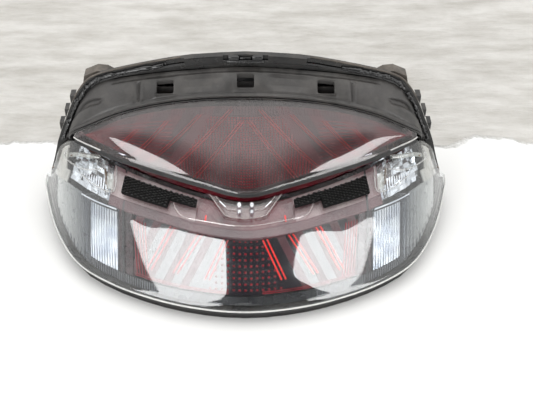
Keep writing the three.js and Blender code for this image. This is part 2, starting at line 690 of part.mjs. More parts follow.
// How far out the flange's edge is at a height.
function edgeX(z) {
  const below = FLANGE_CURVE.findIndex(([, height]) => height < z);
  const [[x0, z0], [x1, z1]] = [FLANGE_CURVE[below - 1], FLANGE_CURVE[below]];
  return x0 + ((x1 - x0) * (z0 - z)) / (z0 - z1);
}

// ---------------------------------------------------------------- back of the lamp
function addBackFittings() {
  SCREWS.forEach(({ x, z }, k) => {
    const head = rod(x, z, 4.2, BACK_Y + GAP, BACK_Y + GAP + 2.8)
      .subtract(box([x - 2.6, BACK_Y + 1.8, z - 0.5], [x + 2.6, BACK_Y + 5, z + 0.5]))
      .subtract(box([x - 0.5, BACK_Y + 1.8, z - 2.6], [x + 0.5, BACK_Y + 5, z + 2.6]));
    addPart(`housing_screw_${k + 1}`, toGeometry(head), 'steel');
  });
  for (const { side, x, z } of INSERTS) {
    addPart(`threaded_insert_${side}`, toGeometry(ring(x, z, 4.6, 2.6, BACK_Y - 9, BACK_Y - 0.4)), 'brass');
  }
  const cap = [[0, -0.6], [7, -0.6], [7.6, 1], [7, 4], [5, 5.5], [0, 6]].map(([r, y]) => [r, BACK_Y + y]);
  addPart('vent_cap', turned(cap, VENT.x, VENT.z), 'rubber');
}

function addBulbs() {
  for (const { name, x, kind } of HOLDERS) {
    const seat = BACK_Y + GAP;
    let holder = rod(x, HOLDER_Z, HOLDER_HOLE - 0.7, 152, BACK_Y + 3, 20)
      .add(rod(x, HOLDER_Z, HOLDER_HOLE + 3.4, BACK_Y + 3, BACK_Y + 6.5, 20))
      .add(rod(x, HOLDER_Z, 9, BACK_Y + 6, BACK_Y + 14));
    for (let k = 0; k < LUG_COUNT; k += 1) {
      const angle = (k / LUG_COUNT) * 2 * Math.PI;
      holder = holder.add(lugBox(x, HOLDER_Z, angle, HOLDER_HOLE + 2, 2.6, 153, BOSS_FRONT - GAP));
      holder = holder.add(lugBox(x, HOLDER_Z, angle, HOLDER_HOLE + 2.6, 1.4, BACK_Y + 6, BACK_Y + 13));
    }
    holder = holder.subtract(box([x - 6, BACK_Y + 8, HOLDER_Z - 4], [x + 6, BACK_Y + 16, HOLDER_Z + 4]));
    addPart(`${name}_holder`, toGeometry(holder), 'holder');

    const seal = ring(x, HOLDER_Z, HOLDER_HOLE + 2.6, HOLDER_HOLE - 0.3, seat, BACK_Y + 2.6);
    addPart(`${name}_seal`, toGeometry(seal), 'rubber');

    const glass = [
      [0, 151.6], [6.5, 151.6], [7, 147], [9.6, 141], [10, 134], [9, 127], [6, 122], [2.5, 119.6], [0, 119.2],
    ];
    addPart(`${name}_bulb`, turned(glass, x, HOLDER_Z, 14), kind === 'turn' ? 'amber' : 'clear');

    const slab = (from, to, front, back) => box(
      [x + from, BACK_Y + front, HOLDER_Z - BLADE_HALF_HEIGHT],
      [x + to, BACK_Y + back, HOLDER_Z + BLADE_HALF_HEIGHT],
    );
    const contacts = slab(-4, 4, 8.4, 9.8).add(slab(-3, -2.2, 9.6, 15)).add(slab(2.2, 3, 9.6, 15));
    addPart(`${name}_contacts`, toGeometry(contacts), 'brass');
  }
}

addHousing();
addShroud();
addOuterLenses();
addLensWall();
addInnerLenses();
addReflectors();
addLedgePieces();
addEdgeFittings();
addBackFittings();
addBulbs();

// The origin is under the middle of the lamp's outer box, on the surface that it stands on.
const bounds = new THREE.Box3().setFromObject(lamp);
lamp.position.set(0, -(bounds.min.y + bounds.max.y) / 2, -bounds.min.z);
lamp.updateMatrixWorld(true);

export default lamp;
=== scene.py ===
# Looks of the motorcycle tail light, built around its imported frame.
# Shapes are worked out in millimetres in the design's own frame (+X right, +Y towards the front of
# the motorcycle, +Z up, Y counted from the middle of the lower lens's rim) and moved to the row
# frame, in metres, when a piece is made.
import math
import random

import bmesh
import bpy
import numpy as np
from mathutils import Matrix, Vector


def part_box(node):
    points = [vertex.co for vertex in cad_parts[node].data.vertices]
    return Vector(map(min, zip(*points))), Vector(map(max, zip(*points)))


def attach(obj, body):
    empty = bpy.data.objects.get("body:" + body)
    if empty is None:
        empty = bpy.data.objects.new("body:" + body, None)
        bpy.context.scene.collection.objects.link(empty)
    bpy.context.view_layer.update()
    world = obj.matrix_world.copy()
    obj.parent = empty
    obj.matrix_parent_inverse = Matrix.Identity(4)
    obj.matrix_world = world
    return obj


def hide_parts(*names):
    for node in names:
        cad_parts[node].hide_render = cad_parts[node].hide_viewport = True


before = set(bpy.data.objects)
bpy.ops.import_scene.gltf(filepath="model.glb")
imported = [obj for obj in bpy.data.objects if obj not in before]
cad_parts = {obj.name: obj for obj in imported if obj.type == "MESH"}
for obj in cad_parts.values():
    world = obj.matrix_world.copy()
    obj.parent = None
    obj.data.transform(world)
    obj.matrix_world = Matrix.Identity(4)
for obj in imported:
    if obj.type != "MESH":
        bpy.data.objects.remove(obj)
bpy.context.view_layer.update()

MM = 0.001
BACK_Y = 170.0                      # end face of the housing's bosses, in the design frame
SHIFT_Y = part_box("rear_housing")[1].y / MM - BACK_Y
FLANGE_Y = 130.0
LENS_THICKNESS = 2.2
FACE_BULGE = 1.5
DOME_BULGE = 3.4
CREST_ROUND = 0.06                  # share of the face and of the ledge that the rounded crest takes
HALF_RED = 84.0                     # half width of the red middle section
INNER_DEPTH = 7.0                   # how far the lower inner lens lies under the outer one
MESH_DEPTH = 4.6                    # the same under the upper lens
SHARP = 35                          # edges that turn by more degrees are sharp
SIDES = (("left", -1), ("right", 1))
BOX_FACES = [(0, 3, 2, 1), (4, 5, 6, 7), (0, 1, 5, 4), (1, 2, 6, 5), (2, 3, 7, 6), (3, 0, 4, 7)]
SEED = 41

# Feature lines of the right half, from the middle to the side, as in the CAD model.
LENS_RIM = [(0, 0, 12), (30, 3, 12), (60, 11, 12), (92, 25.5, 12),
            (118, 45, 13), (137, 77, 15), (150, 116, 19), (151, 127, 23)]
LENS_CREST = [(0, 25, 55), (30, 31, 55), (60, 43, 54.5), (88, 55, 54),
              (112, 71, 51), (133, 93, 45), (145, 115, 33), (147, 127, 27)]
LEDGE_BACK = [(0, 53, 60), (27, 61, 60.5), (55, 72.5, 61.5), (84, 87, 63.5),
              (108, 102, 65.5), (124, 114, 65), (135, 124, 54), (140, 127, 47)]
DOME_FRONT = [(0, 54, 69), (30, 63.5, 69.6), (60, 75.5, 70.8), (88, 87, 72.8),
              (108, 97.5, 74.5), (117.5, 103.5, 74.8), (121.5, 106.5, 75.6)]
DOME_BACK = [(0, 109, 105), (30, 109, 104), (60, 108.3, 100.3), (88, 106, 94),
             (108, 105.8, 85), (117.5, 106.5, 79.8), (121.5, 107.3, 77)]
SHROUD_FRONT = [(0, 112.5, 104.8), (30, 112.5, 103.8), (60, 112, 100), (88, 110, 93.8),
                (108, 109.5, 85), (124, 112, 75), (129, 122, 62)]
SHROUD_BACK = [(0, 129.5, 119), (43, 129.5, 116), (75, 129.5, 112), (100, 129.5, 106.5),
               (114, 129.5, 96), (124, 129.5, 77), (134, 129.5, 50)]
FLANGE_EDGE = [(0, 130, 128.5), (34.6, 130, 126.5), (59, 130, 122.5), (85.5, 130, 116.5),
               (104, 130, 111), (114, 130, 104), (124.5, 130, 88), (131.5, 130, 72),
               (139, 130, 55), (145, 130, 35), (150, 130, 20)]


# ------------------------------------------------------------------ curves and surfaces
def unit(vectors):
    return vectors / np.maximum(np.linalg.norm(vectors, axis=-1, keepdims=True), 1e-9)


def between(knots, place):
    """The smooth curve through knots at places from 0 to 1; the first and last knot only steer its ends."""
    spans = len(knots) - 3
    place = np.clip(np.asarray(place, float), 0, 1) * spans
    span = np.minimum(place.astype(int), spans - 1)
    t = (place - span)[..., None]
    a, b, c, d = (knots[span + k] for k in range(4))
    return 0.5 * (2 * b + (c - a) * t + (2 * a - 5 * b + 4 * c - d) * t**2
                  + (3 * b - a - 3 * c + d) * t**3)


def steered(points):
    knots = np.array(points, float)
    return np.vstack([2 * knots[0] - knots[1], knots, 2 * knots[-1] - knots[-2]])


def spline(points, count):
    """A smooth open path through the points."""
    return between(steered(points), np.linspace(0, 1, count))


def smooth_line(half):
    """The curve through a half line's points and their mirror images, from left (0) to right (1)."""
    right = np.array(half, float)
    knots = steered(np.vstack([right[::-1] * [-1, 1, 1], right[1:]]))
    return lambda place: between(knots, place)


def bent(first, second, bulge):
    """The surface between two curves, swollen outwards by `bulge` in its middle."""
    def at(u, v):
        u, v = np.broadcast_arrays(np.asarray(u, float), np.asarray(v, float))
        a, b = first(u), second(u)
        along = first(u + 1e-3) - first(u - 1e-3)
        outwards = unit(np.cross(along, b - a))
        swell = bulge * 4 * v * (1 - v) * np.sqrt(np.maximum(np.sin(np.pi * u), 0))
        return a + (b - a) * v[..., None] + outwards * swell[..., None]

    return at


rim, crest = smooth_line(LENS_RIM), smooth_line(LENS_CREST)
ledge_back = smooth_line(LEDGE_BACK)
dome_front, dome_back = smooth_line(DOME_FRONT), smooth_line(DOME_BACK)
shroud_back = smooth_line(SHROUD_BACK)
flange_edge = smooth_line(FLANGE_EDGE)
face = bent(rim, crest, FACE_BULGE)
ledge = bent(crest, ledge_back, 0)
dome = bent(dome_front, dome_back, DOME_BULGE)
shroud_face = bent(smooth_line(SHROUD_FRONT), shroud_back, 1.5)


def lower(u, w):
    """The lower lens: w from 0 to 1 is its face, from 1 to 2 its ledge, with a rounded crest."""
    u, w = np.broadcast_arrays(np.asarray(u, float), np.asarray(w, float))
    flat = np.where((w <= 1)[..., None], face(u, np.minimum(w, 1)), ledge(u, np.maximum(w - 1, 0)))
    t = np.clip((w - 1 + CREST_ROUND) / (2 * CREST_ROUND), 0, 1)[..., None]
    start, end = face(u, 1 - CREST_ROUND), ledge(u, CREST_ROUND)
    turned = (1 - t) ** 2 * start + 2 * t * (1 - t) * crest(u) + t**2 * end
    return np.where((abs(w - 1) < CREST_ROUND)[..., None], turned, flat)


def normal_of(surface, u, v):
    step = 2e-3
    along = surface(u + step, v) - surface(u - step, v)
    across = surface(u, v + step) - surface(u, v - step)
    return unit(np.cross(along, across))


def over(surface, u, v, height):
    u, v = np.broadcast_arrays(np.asarray(u, float), np.asarray(v, float))
    return surface(u, v) + normal_of(surface, u, v) * np.asarray(height, float)[..., None]


def place_of_x(surface, x, v):
    """The u at which a surface reaches each x, at each v."""
    x, v = np.broadcast_arrays(np.asarray(x, float), np.asarray(v, float))
    places = np.linspace(0, 1, 241)
    flat = [np.interp(a, surface(places, b)[:, 0], places) for a, b in zip(x.ravel(), v.ravel())]
    return np.reshape(flat, x.shape)


def spot(surface, x, v):
    """The (u, v) place on a surface at an x."""
    return float(place_of_x(surface, x, v)), v


def out_of(curve, places):
    along = curve(places + 1e-3) - curve(places - 1e-3)
    return unit(np.cross(along, (0, 0, 1)))


def beside(curve, places, out, up):
    """Points beside a curve, so far outwards and so far up from it."""
    return curve(places) + out_of(curve, places) * out + np.array((0, 0, up))


# ------------------------------------------------------------------ shapes
class Shape:
    """Points in design millimetres and the faces between them."""

    def __init__(self):
        self.points = []
        self.faces = []

    def add(self, points, faces):
        start = len(self.points)
        self.points.extend(tuple(p) for p in np.reshape(points, (-1, 3)))
        self.faces.extend(tuple(start + k for k in corner) for corner in faces)
        return self


def quads(columns, rows, round_rows=False):
    faces = []
    for i in range(columns - 1):
        for j in range(rows if round_rows else rows - 1):
            k = (j + 1) % rows
            faces.append((i * rows + j, (i + 1) * rows + j, (i + 1) * rows + k, i * rows + k))
    return faces


def loft(sections):
    """A closed solid through closed sections with the same number of points."""
    sections = np.asarray(sections, float)
    count, size = sections.shape[:2]
    caps = [tuple(range(size)), tuple((count - 1) * size + k for k in reversed(range(size)))]
    return Shape().add(sections, quads(count, size, True) + caps)


def sheet(top, bottom):
    """A closed sheet between two grids of the same size."""
    sections = np.concatenate([top, bottom[:, ::-1]], axis=1)
    count, size = sections.shape[:2]
    faces = quads(count, size, True)
    for end in (0, (count - 1) * size):
        faces += [(end + j, end + j + 1, end + size - 2 - j, end + size - 1 - j)
                  for j in range(size // 2 - 1)]
    return Shape().add(sections, faces)


def thick(grid, thickness):
    normals = unit(np.cross(np.gradient(grid, axis=0), np.gradient(grid, axis=1)))
    return sheet(grid, grid - normals * thickness)


def sweep(path, profile, up=(0, 0, 1)):
    """A solid of one section along a path; the profile lists (out, up), out being level."""
    path = np.asarray(path, float)
    along = unit(np.gradient(path, axis=0))
    out = unit(np.cross(along, up))
    rise = np.cross(out, along)
    profile = np.asarray(profile, float)
    return loft(path[:, None] + out[:, None] * profile[None, :, :1] + rise[:, None] * profile[None, :, 1:])


def disc(radius, sides=10, flat=1.0):
    angles = np.arange(sides) * 2 * math.pi / sides
    return np.stack([np.cos(angles) * radius, np.sin(angles) * radius * flat], axis=-1)


def rib(surface, start, end, width, height, base=0.0, count=14):
    """A raised rib on a surface between two (u, v) places, with a flat top."""
    t = np.linspace(0, 1, count)
    u = start[0] + (end[0] - start[0]) * t
    v = start[1] + (end[1] - start[1]) * t
    middle = over(surface, u, v, base)
    normals = normal_of(surface, u, v)
    side = np.cross(normals, unit(np.gradient(middle, axis=0)))
    section = np.array([(-0.5, 0), (-0.3, 1), (0.3, 1), (0.5, 0)])
    return loft(middle[:, None] + side[:, None] * section[None, :, :1] * width
                + normals[:, None] * section[None, :, 1:] * height)


def bead(path, radius, sides=8, flat=1.0):
    return sweep(path, disc(radius, sides, flat))


def lathe(profile, x, z, segments=40):
    """A turned piece about an axis along Y; the profile lists (radius, y)."""
    profile = np.asarray(profile, float)
    angles = np.arange(segments + 1) * 2 * math.pi / segments
    points = [[(x + r * math.cos(a), y, z + r * math.sin(a)) for r, y in profile] for a in angles]
    return Shape().add(points, quads(segments + 1, len(profile)))


def block(low, high):
    (x0, y0, z0), (x1, y1, z1) = low, high
    corners = [(x0, y0, z0), (x1, y0, z0), (x1, y1, z0), (x0, y1, z0),
               (x0, y0, z1), (x1, y0, z1), (x1, y1, z1), (x0, y1, z1)]
    return Shape().add(corners, BOX_FACES)


def mesh_of(name, shapes):
    """A mesh of some shapes, moved to the row frame, with its faces turned outwards."""
    whole = Shape()
    for shape in shapes:
        whole.add(shape.points, shape.faces)
    mesh = bpy.data.meshes.new(name)
    placed = [(x * MM, (y + SHIFT_Y) * MM, z * MM) for x, y, z in whole.points]
    mesh.from_pydata(placed, [], whole.faces)
    shaping = bmesh.new()
    shaping.from_mesh(mesh)
    bmesh.ops.remove_doubles(shaping, verts=shaping.verts, dist=1e-7)
    bmesh.ops.recalc_face_normals(shaping, faces=shaping.faces)
    shaping.to_mesh(mesh)
    shaping.free()
    return mesh


def linked(name, mesh):
    made = bpy.data.objects.new(name, mesh)
    bpy.context.scene.collection.objects.link(made)
    return made


def piece(name, shapes, look, replaces=(), body="lamp", sharp=SHARP, bevel=0.0):
    """A Blender object of one shape or a list of them, with its look as its material."""
    mesh = mesh_of(name, shapes if isinstance(shapes, list) else [shapes])
    mesh.polygons.foreach_set("use_smooth", [True] * len(mesh.polygons))
    mesh.set_sharp_from_angle(angle=math.radians(sharp))
    mesh.materials.append(MATERIALS[look])
    made = linked(name, mesh)
    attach(made, body)
    if replaces:
        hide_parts(*replaces)
    if bevel:
        round_edges(made, bevel)
    return made


def round_edges(made, width_mm):
    rounding = made.modifiers.new("rounded_edges", "BEVEL")
    rounding.width = width_mm * MM
    rounding.segments = 2
    rounding.limit_method = "ANGLE"
    rounding.angle_limit = math.radians(SHARP)
    rounding.use_clamp_overlap = True
    rounding.harden_normals = False


def carve(made, cutters):
    """Cuts closed shapes out of a piece."""
    for number, shape in enumerate(cutters):
        cutter = linked(f"cutter_{number}", mesh_of(f"cutter_{number}", [shape]))
        cut = made.modifiers.new("cut", "BOOLEAN")
        cut.operation = "DIFFERENCE"
        cut.solver = "EXACT"
        cut.object = cutter
        bpy.context.view_layer.update()
        result = made.evaluated_get(bpy.context.evaluated_depsgraph_get())
        carved = bpy.data.meshes.new_from_object(result)
        made.modifiers.remove(cut)
        bpy.data.objects.remove(cutter)
        made.data = carved
    made.data.set_sharp_from_angle(angle=math.radians(SHARP))


# ------------------------------------------------------------------ material nodes
MATERIALS = {}                      # every look by its name


class Graph:
    """A node material, or the nodes of the world, under construction."""

    def __init__(self, name, owners=None):
        self.name = name
        self.owner = (bpy.data.materials if owners is None else owners).new(name)
        self.owner.use_nodes = True
        self.tree = self.owner.node_tree
        self.tree.nodes.clear()
        self.where = self.node("TexCoord").outputs
        self.place = self.where["Object"]

    def node(self, kind, settings=None, **inputs):
        made = self.tree.nodes.new("ShaderNode" + kind)
        for key, value in (settings or {}).items():
            setattr(made, key, value)
        for key, value in inputs.items():
            self.feed(made.inputs[key.replace("_", " ")], value)
        return made

    def feed(self, socket, value):
        if isinstance(value, bpy.types.NodeSocket):
            self.tree.links.new(value, socket)
        else:
            socket.default_value = value

    def fed(self, kind, settings, values, result=0):
        """The output of a node whose inputs, by their number, take the values."""
        made = self.node(kind, settings)
        for number, value in values.items():
            self.feed(made.inputs[number], value)
        return made.outputs[result]

    def math(self, operation, *values):
        return self.fed("Math", {"operation": operation}, dict(enumerate(values)))

    def noise(self, scale, detail=4.0, roughness=0.55, place=None):
        made = self.node("TexNoise", Scale=scale, Detail=detail, Roughness=roughness)
        self.feed(made.inputs["Vector"], place or self.place)
        return made.outputs["Fac"]

    def spread(self, value, low, high, first=0.0, second=1.0, curve="LINEAR"):
        """The value from low to high as a number from first to second, clamped."""
        values = dict(enumerate((value, low, high, first, second)))
        return self.fed("MapRange", {"interpolation_type": curve}, values)

    def blend(self, factor, first, second):
        return self.fed("Mix", {"data_type": "RGBA"}, {0: factor, 6: first, 7: second}, 2)

    def layered(self, factor, under, above):
        return self.fed("MixShader", {}, {0: factor, 1: under, 2: above})

    def stretched(self, x, y, z):
        return self.node("Mapping", Vector=self.place, Scale=(x, y, z)).outputs[0]

    def bump(self, height, strength, distance_mm=0.2):
        return self.node("Bump", Strength=strength, Distance=distance_mm * MM, Height=height).outputs[0]

    def sideways(self):
        """The distance from the middle plane of the lamp."""
        return self.math("ABSOLUTE", self.node("SeparateXYZ", Vector=self.place).outputs[0])

    def fresnel(self, straight=0.045):
        """Reflectance by angle, the same from both sides of a thin wall."""
        facing = self.node("LayerWeight", Blend=0.5).outputs["Facing"]
        steep = self.math("POWER", facing, 5.0)
        return self.math("MULTIPLY_ADD", steep, 1.0 - straight, straight)

    def finish(self, shader, output="OutputMaterial"):
        self.node(output, Surface=shader)
        MATERIALS[self.name] = self.owner
        return self.owner


def rgb(red, green, blue):
    """A colour given as 0 to 255 display values."""
    linear = [c / 255 / 12.92 if c <= 10 else ((c / 255 + 0.055) / 1.055) ** 2.4 for c in (red, green, blue)]
    return (*linear, 1.0)


def plastic(name, dark, light, rough=(0.35, 0.6), grain=900.0, grain_bump=0.25, patches=35.0,
            metallic=0.0, dust=None, dust_amount=0.0, specular=0.5, scratches=0.0):
    """Moulded plastic, rubber or metal: colour patches, fine grain, uneven gloss and settled dust."""
    g = Graph(name)
    height = g.noise(grain, 3.0, 0.6)
    colour = g.blend(g.spread(g.noise(patches, 6.0), 0.35, 0.65), rgb(*dark), rgb(*light))
    roughness = g.spread(g.noise(patches * 2.3, 5.0), 0.3, 0.7, *rough)
    if dust:
        upward = g.node("SeparateXYZ", Vector=g.node("NewGeometry").outputs["Normal"]).outputs[2]
        lying = g.spread(upward, 0.1, 0.9, 0.25, 1.0)
        smudge = g.spread(g.noise(70.0, 8.0, 0.7), 0.42, 0.72)
        specks = g.spread(g.noise(1500.0, 2.0, 0.5), 0.6, 0.72, 0.0, 0.5)
        cover = g.math("MULTIPLY", g.math("MAXIMUM", smudge, specks), g.math("MULTIPLY", lying, dust_amount))
        colour = g.blend(cover, colour, rgb(*dust))
        roughness = g.math("MAXIMUM", roughness, g.math("MULTIPLY", cover, 0.9))
    if scratches:
        streaks = g.spread(g.noise(1.0, 2.0, 0.5, g.stretched(900.0, 60.0, 400.0)), 0.62, 0.7)
        height = g.math("ADD", height, g.math("MULTIPLY", streaks, scratches))
    shader = g.node("BsdfPrincipled", Metallic=metallic, Base_Color=colour, Roughness=roughness,
                    Specular_IOR_Level=specular, Normal=g.bump(height, grain_bump, 0.15))
    return g.finish(shader.outputs[0])


def clear_plastic(name, tint, haze_colour, haze=(0.02, 0.06), rough=(0.015, 0.06), straight=0.045, bump=0.02):
    """A clear moulded wall: tinted straight through, glossy on its faces, with a slight uneven haze."""
    g = Graph(name)
    waves = g.math("ADD", g.noise(45.0, 3.0), g.math("MULTIPLY", g.noise(520.0, 3.0), 0.12))
    normal = g.bump(waves, bump, 0.6)
    scuffs = g.spread(g.noise(1.0, 3.0, 0.6, g.stretched(700.0, 80.0, 260.0)), 0.6, 0.72)
    film = g.spread(g.noise(60.0, 7.0, 0.65), 0.35, 0.75)
    amount = g.math("ADD", g.spread(film, 0.0, 1.0, *haze), g.math("MULTIPLY", scuffs, haze[1] * 0.6))
    through = g.node("BsdfTransparent", Color=(*tint, 1)).outputs[0]
    milky = g.node("BsdfDiffuse", Color=rgb(*haze_colour), Normal=normal).outputs[0]
    gloss = g.node("BsdfAnisotropic", Color=(1, 1, 1, 1), Normal=normal,
                   Roughness=g.spread(g.math("ADD", film, scuffs), 0.0, 1.6, *rough)).outputs[0]
    return g.finish(g.layered(g.fresnel(straight), g.layered(amount, through, milky), gloss))


def banded_red(name, dark, light, period_mm, slope, first_mm, rough=(0.06, 0.4)):
    """Deep red plastic moulded in slanting bands, mirrored about the middle of the lamp."""
    g = Graph(name)
    upward = g.node("SeparateXYZ", Vector=g.place).outputs[2]
    along = g.math("ADD", g.sideways(), g.math("MULTIPLY", upward, slope))
    phase = g.math("FRACT", g.math("DIVIDE", along, period_mm * MM))
    band = g.math("MULTIPLY", g.spread(phase, 0.04, 0.1), g.spread(phase, 0.5, 0.56, 1.0, 0.0))
    band = g.math("MULTIPLY", band, g.spread(along, first_mm * MM, (first_mm + 0.4) * MM))
    cloud = g.spread(g.noise(90.0, 5.0), 0.3, 0.7, 0.8, 1.2)
    colour = g.fed("VectorMath", {"operation": "SCALE"}, {0: g.blend(band, rgb(*dark), rgb(*light)), 3: cloud})
    shader = g.node("BsdfPrincipled", Base_Color=colour, Specular_IOR_Level=0.6,
                    Roughness=g.spread(band, 0.0, 1.0, *rough), Normal=g.bump(g.noise(300.0, 3.0), 0.02, 0.2))
    return g.finish(shader.outputs[0])


def side_silver(name, near, far, start_mm, end_mm):
    """Satin silver that changes tone from the middle of the lamp outwards."""
    g = Graph(name)
    place = g.math("ADD", g.sideways(), g.math("MULTIPLY", g.noise(60.0, 4.0), 4 * MM))
    colour = g.blend(g.spread(place, (start_mm + 2) * MM, (end_mm + 2) * MM), rgb(*near), rgb(*far))
    shader = g.node("BsdfPrincipled", Base_Color=colour, Metallic=0.35, Specular_IOR_Level=0.6,
                    Roughness=g.spread(g.noise(120.0, 5.0), 0.3, 0.7, 0.22, 0.45),
                    Normal=g.bump(g.noise(500.0, 3.0), 0.05, 0.2))
    return g.finish(shader.outputs[0])


def make_materials():
    plastic("shroud_plastic", (38, 37, 36), (60, 58, 57), (0.3, 0.5), 1400.0, 0.22, 22.0,
            dust=(112, 108, 103), dust_amount=0.3)
    plastic("ear_plastic", (56, 51, 46), (84, 77, 70), (0.5, 0.75), 1000.0, 0.35, 40.0,
            dust=(140, 131, 120), dust_amount=0.45)
    plastic("housing_plastic", (11, 11, 12), (24, 24, 24), (0.2, 0.45), 1100.0, 0.25, 45.0,
            dust=(120, 112, 102), dust_amount=0.25, scratches=0.4)
    plastic("pan_plastic", (12, 12, 14), (22, 22, 25), (0.25, 0.5), 1200.0, 0.3, 45.0, dust=(80, 78, 75),
            dust_amount=0.1)
    plastic("sealant_black", (8, 8, 9), (20, 20, 21), (0.08, 0.3), 420.0, 0.6, 120.0, specular=0.7)
    plastic("seal_rubber", (20, 20, 21), (38, 38, 38), (0.4, 0.65), 1600.0, 0.3, 80.0)
    plastic("pad_foam", (7, 7, 7), (22, 22, 21), (0.26, 0.44), 2200.0, 0.3, 420.0, specular=0.6)
    plastic("pad_backing", (3, 3, 3), (8, 8, 8), (0.6, 0.8), 1500.0, 0.2, 300.0, specular=0.2)
    plastic("fastener_steel", (150, 150, 150), (190, 190, 188), (0.22, 0.42), 1500.0, 0.2, 120.0,
            metallic=1.0, scratches=0.6)
    plastic("insert_brass", (170, 130, 62), (206, 168, 92), (0.2, 0.4), 1500.0, 0.2, 120.0, metallic=1.0,
            scratches=0.5)
    plastic("holder_plastic", (30, 30, 32), (52, 51, 51), (0.4, 0.62), 1300.0, 0.3, 70.0,
            dust=(130, 122, 112), dust_amount=0.22)
    plastic("reflector_chrome", (190, 194, 200), (232, 234, 238), (0.04, 0.16), 600.0, 0.06, 60.0,
            metallic=1.0)
    plastic("rib_red", (255, 26, 20), (255, 44, 32), (0.12, 0.3), 800.0, 0.05, 150.0)
    # rib_red_painted_shade: a darker copy of rib_red for the ribs of the left half, painted shade
    plastic("rib_red_painted_shade", (150, 14, 24), (186, 22, 32), (0.15, 0.35), 800.0, 0.05, 150.0)
    plastic("upper_line", (176, 0, 10), (216, 6, 16), (0.2, 0.4), 800.0, 0.05, 60.0)
    plastic("wall_dark", (26, 10, 18), (54, 14, 24), (0.15, 0.4), 700.0, 0.08, 90.0)
    plastic("seam_dark", (10, 9, 12), (22, 20, 26), (0.2, 0.5), 700.0, 0.1, 80.0)
    plastic("apron_dark", (13, 14, 19), (28, 29, 36), (0.15, 0.4), 700.0, 0.08, 50.0)
    plastic("apron_rib", (84, 86, 92), (120, 122, 126), (0.2, 0.45), 700.0, 0.08, 50.0)
    plastic("frosted_end", (170, 168, 162), (216, 213, 207), (0.3, 0.6), 420.0, 0.3, 70.0,
            dust=(120, 108, 92), dust_amount=0.35)
    plastic("flute_white", (186, 194, 206), (236, 239, 243), (0.1, 0.24), 500.0, 0.04, 90.0, metallic=0.45,
            specular=0.8)
    # flute_groove_painted_shade: dark colour for the strips in the flute grooves, painted shade
    plastic("flute_groove_painted_shade", (26, 29, 36), (64, 68, 78), (0.2, 0.4), 500.0, 0.05, 60.0)
    side_silver("side_silver", (74, 78, 84), (206, 206, 203), 112.0, 141.0)
    plastic("ledge_pale", (132, 92, 96), (206, 186, 184), (0.2, 0.5), 500.0, 0.06, 26.0)
    plastic("ledge_dark", (74, 8, 24), (128, 62, 70), (0.15, 0.4), 500.0, 0.06, 50.0)
    plastic("dot_red", (120, 8, 26), (160, 14, 34), (0.12, 0.3), 800.0, 0.1, 150.0)
    plastic("skirt_red", (52, 3, 12), (84, 6, 18), (0.08, 0.25), 500.0, 0.1, 90.0, specular=0.7)
    banded_red("inner_lens_red", (22, 11, 24), (78, 20, 32), 12.0, 0.58, 47.0, (0.12, 0.45))
    banded_red("upper_inner_red", (58, 6, 22), (88, 16, 32), 19.0, 0.95, 104.0, (0.3, 0.5))
    plastic("cell_red", (120, 8, 28), (176, 20, 40), (0.15, 0.35), 900.0, 0.1, 60.0)
    plastic("ledge_red", (70, 26, 36), (98, 48, 56), (0.2, 0.5), 500.0, 0.05, 40.0)
    clear_plastic("clear_lens", (0.94, 0.95, 0.955), (205, 206, 204), (0.008, 0.032))
    clear_plastic("smoked_lens", (0.80, 0.77, 0.77), (168, 158, 158), (0.015, 0.05))
    # rim_painted_highlight: clear plastic with a strong milky white haze, so its beads show as a painted
    # highlight along the lens rims
    clear_plastic("rim_painted_highlight", (0.86, 0.86, 0.86), (232, 232, 228), (0.35, 0.6), (0.05, 0.15), 0.12)
    clear_plastic("pod_clear", (0.86, 0.87, 0.86), (214, 216, 210), (0.12, 0.3), (0.02, 0.08), 0.1, 0.1)
    clear_plastic("soft_edge", (0.84, 0.80, 0.80), (206, 196, 194), (0.12, 0.3), (0.03, 0.1), 0.1, 0.1)
    clear_plastic("bracket_clear", (0.93, 0.90, 0.90), (220, 214, 212), (0.03, 0.08), (0.02, 0.06), 0.07,
                  0.05)
    clear_plastic("pod_edge", (0.84, 0.84, 0.84), (214, 214, 210), (0.08, 0.25), (0.02, 0.08), 0.12, 0.15)
    plastic("old_glue", (74, 58, 44), (112, 92, 70), (0.5, 0.8), 900.0, 0.5, 200.0)
    clear_plastic("bulb_glass", (0.96, 0.96, 0.95), (230, 230, 226), (0.0, 0.02), (0.01, 0.03))
    clear_plastic("amber_glass", (0.95, 0.5, 0.12), (230, 140, 50), (0.05, 0.1), (0.01, 0.03))


make_materials()


# ------------------------------------------------------------------ lenses
def with_lip(grid, out, steps):
    """A lens's grid that starts with a moulded lip, given as steps outwards and up from its rim."""
    lip = [grid[:, 0] + out * reach + np.array((0, 0, rise)) for reach, rise in steps]
    return np.concatenate([np.stack(lip, axis=1), grid[:, 1:]], axis=1)


def add_lower_lens():
    columns = np.linspace(0, 1, 221)[:, None]
    rows = np.concatenate([np.linspace(0, 0.94, 30), np.linspace(0.95, 1.05, 9), np.linspace(1.06, 2, 24)])
    grid = lower(columns, rows[None, :])
    out = unit(np.cross(unit(np.gradient(grid[:, 0], axis=0)), (0, 0, 1)))
    grid = with_lip(grid, out, ((0.4, -2.9), (1.1, -2.6), (1.35, -1.5), (1.1, -0.5), (0.5, -0.1)))
    piece("lower_lens_shell", thick(grid, LENS_THICKNESS), "clear_lens", replaces=["lower_outer_lens"])
    # The bead along the rim is whitened by its milky material: a painted highlight.
    path = beside(rim, np.linspace(0.004, 0.996, 200), 1.25, -1.1)
    piece("lens_rim_edge", bead(path, 0.62), "rim_painted_highlight")


